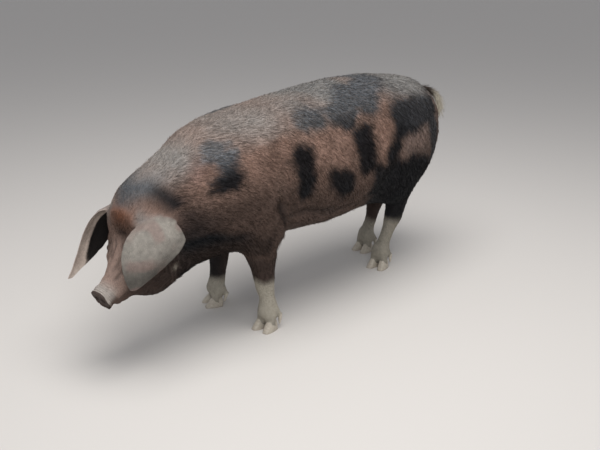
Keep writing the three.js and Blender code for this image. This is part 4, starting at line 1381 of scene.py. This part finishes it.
pick = coat.add("FunctionNodeRandomValue", {"data_type": "INT"}, {4: 0, 5: TUFT_KINDS - 1, "Seed": 15})
planted = coat.add("GeometryNodeInstanceOnPoints", None, {
    "Points": points, "Instance": choice.outputs[0], "Pick Instance": True,
    "Instance Index": pick.outputs[2], "Rotation": turned.outputs[0], "Scale": size.outputs[0]})
real = coat.add("GeometryNodeRealizeInstances", None, {"Geometry": planted.outputs[0]}).outputs[0]
place = coat.vector("ADD", coat.named("root", "FLOAT_VECTOR"),
                    coat.scaled(coat.named("leaf", "FLOAT_VECTOR"), LEAF_PATCH))
real = coat.stored(real, "OFBake", place, "FLOAT2", "CORNER")
real = coat.add("GeometryNodeSetMaterial", None, {"Geometry": real, "Material": finish}).outputs[0]
coat.tree.links.new(real, coat.tree.nodes.new("NodeGroupOutput").inputs[0])

# Each patch of coat: which families of node it grows on, the stretch of the body from
# front to back, its side (0 for both), and the spacing and width of its tufts.
BODY = ("trunk", "neck", "ham")
BODY_TUFT = 0.68
STRETCHES = {
    "neck": (-1.0, -0.33, 0.0051),
    "chest": (-0.33, 0.07, 0.0051),
    "flank": (0.07, 0.48, 0.0051),
    "rump": (0.48, 1.0, 0.0052),
}
PATCHES = {
    f"coat_{stretch}_{name}": (BODY, front, back, side, gap, BODY_TUFT)
    for stretch, (front, back, gap) in STRETCHES.items()
    for name, side in (("left", 1), ("right", -1))
}
PATCHES |= {
    "coat_head": (("head", "snout"), -1.0, 1.0, 0, 0.0043, 0.42),
    "coat_ears": (("ear",), -1.0, 1.0, 0, 0.0041, 0.22),
    "coat_tail": (("tail",), -1.0, 1.0, 0, 0.0030, 0.45),
    "coat_legs": (("leg",), -1.0, 1.0, 0, 0.0049, 0.5),
    "coat_feet": (FEET, -1.0, 1.0, 0, 0.0044, 0.26),
}
face_kind = kind[skin.corners[:, 0]]
face_place = skin.points[skin.corners].mean(axis=1)
patch_number = np.full(len(face_kind), -1)
for number, (kinds_here, front, back, side, *_) in enumerate(PATCHES.values()):
    here = np.isin(face_kind, kinds_here) & (face_place[:, 1] > front) & (face_place[:, 1] <= back)
    if side:
        here &= side * face_place[:, 0] > 0
    patch_number[here] = number
store(hide.data, "patch", patch_number, "INT", "FACE")

for number, (name, (*_, gap, wide)) in enumerate(PATCHES.items()):
    soil = bpy.data.objects.new("soil", hide.data)
    bpy.context.scene.collection.objects.link(soil)
    sown = soil.modifiers.new("coat", "NODES")
    sown.node_group = coat.tree
    for key, value in (("Patch", number), ("Spacing", gap), ("Width", wide), ("Straying", STRAYING),
                       ("Tufts", tufts), ("Material", bristle.material)):
        sown[coat.socket_shade[key]] = value
    mesh = settled(soil)
    bpy.data.objects.remove(soil)
    mesh.uv_layers["OFBake"].active = True
    mesh.uv_layers["OFBake"].active_render = True
    piece = bpy.data.objects.new(name, mesh)
    bpy.context.scene.collection.objects.link(piece)
    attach(piece, "root")
for each in list(tufts.objects):
    bpy.data.objects.remove(each)
bpy.data.collections.remove(tufts)
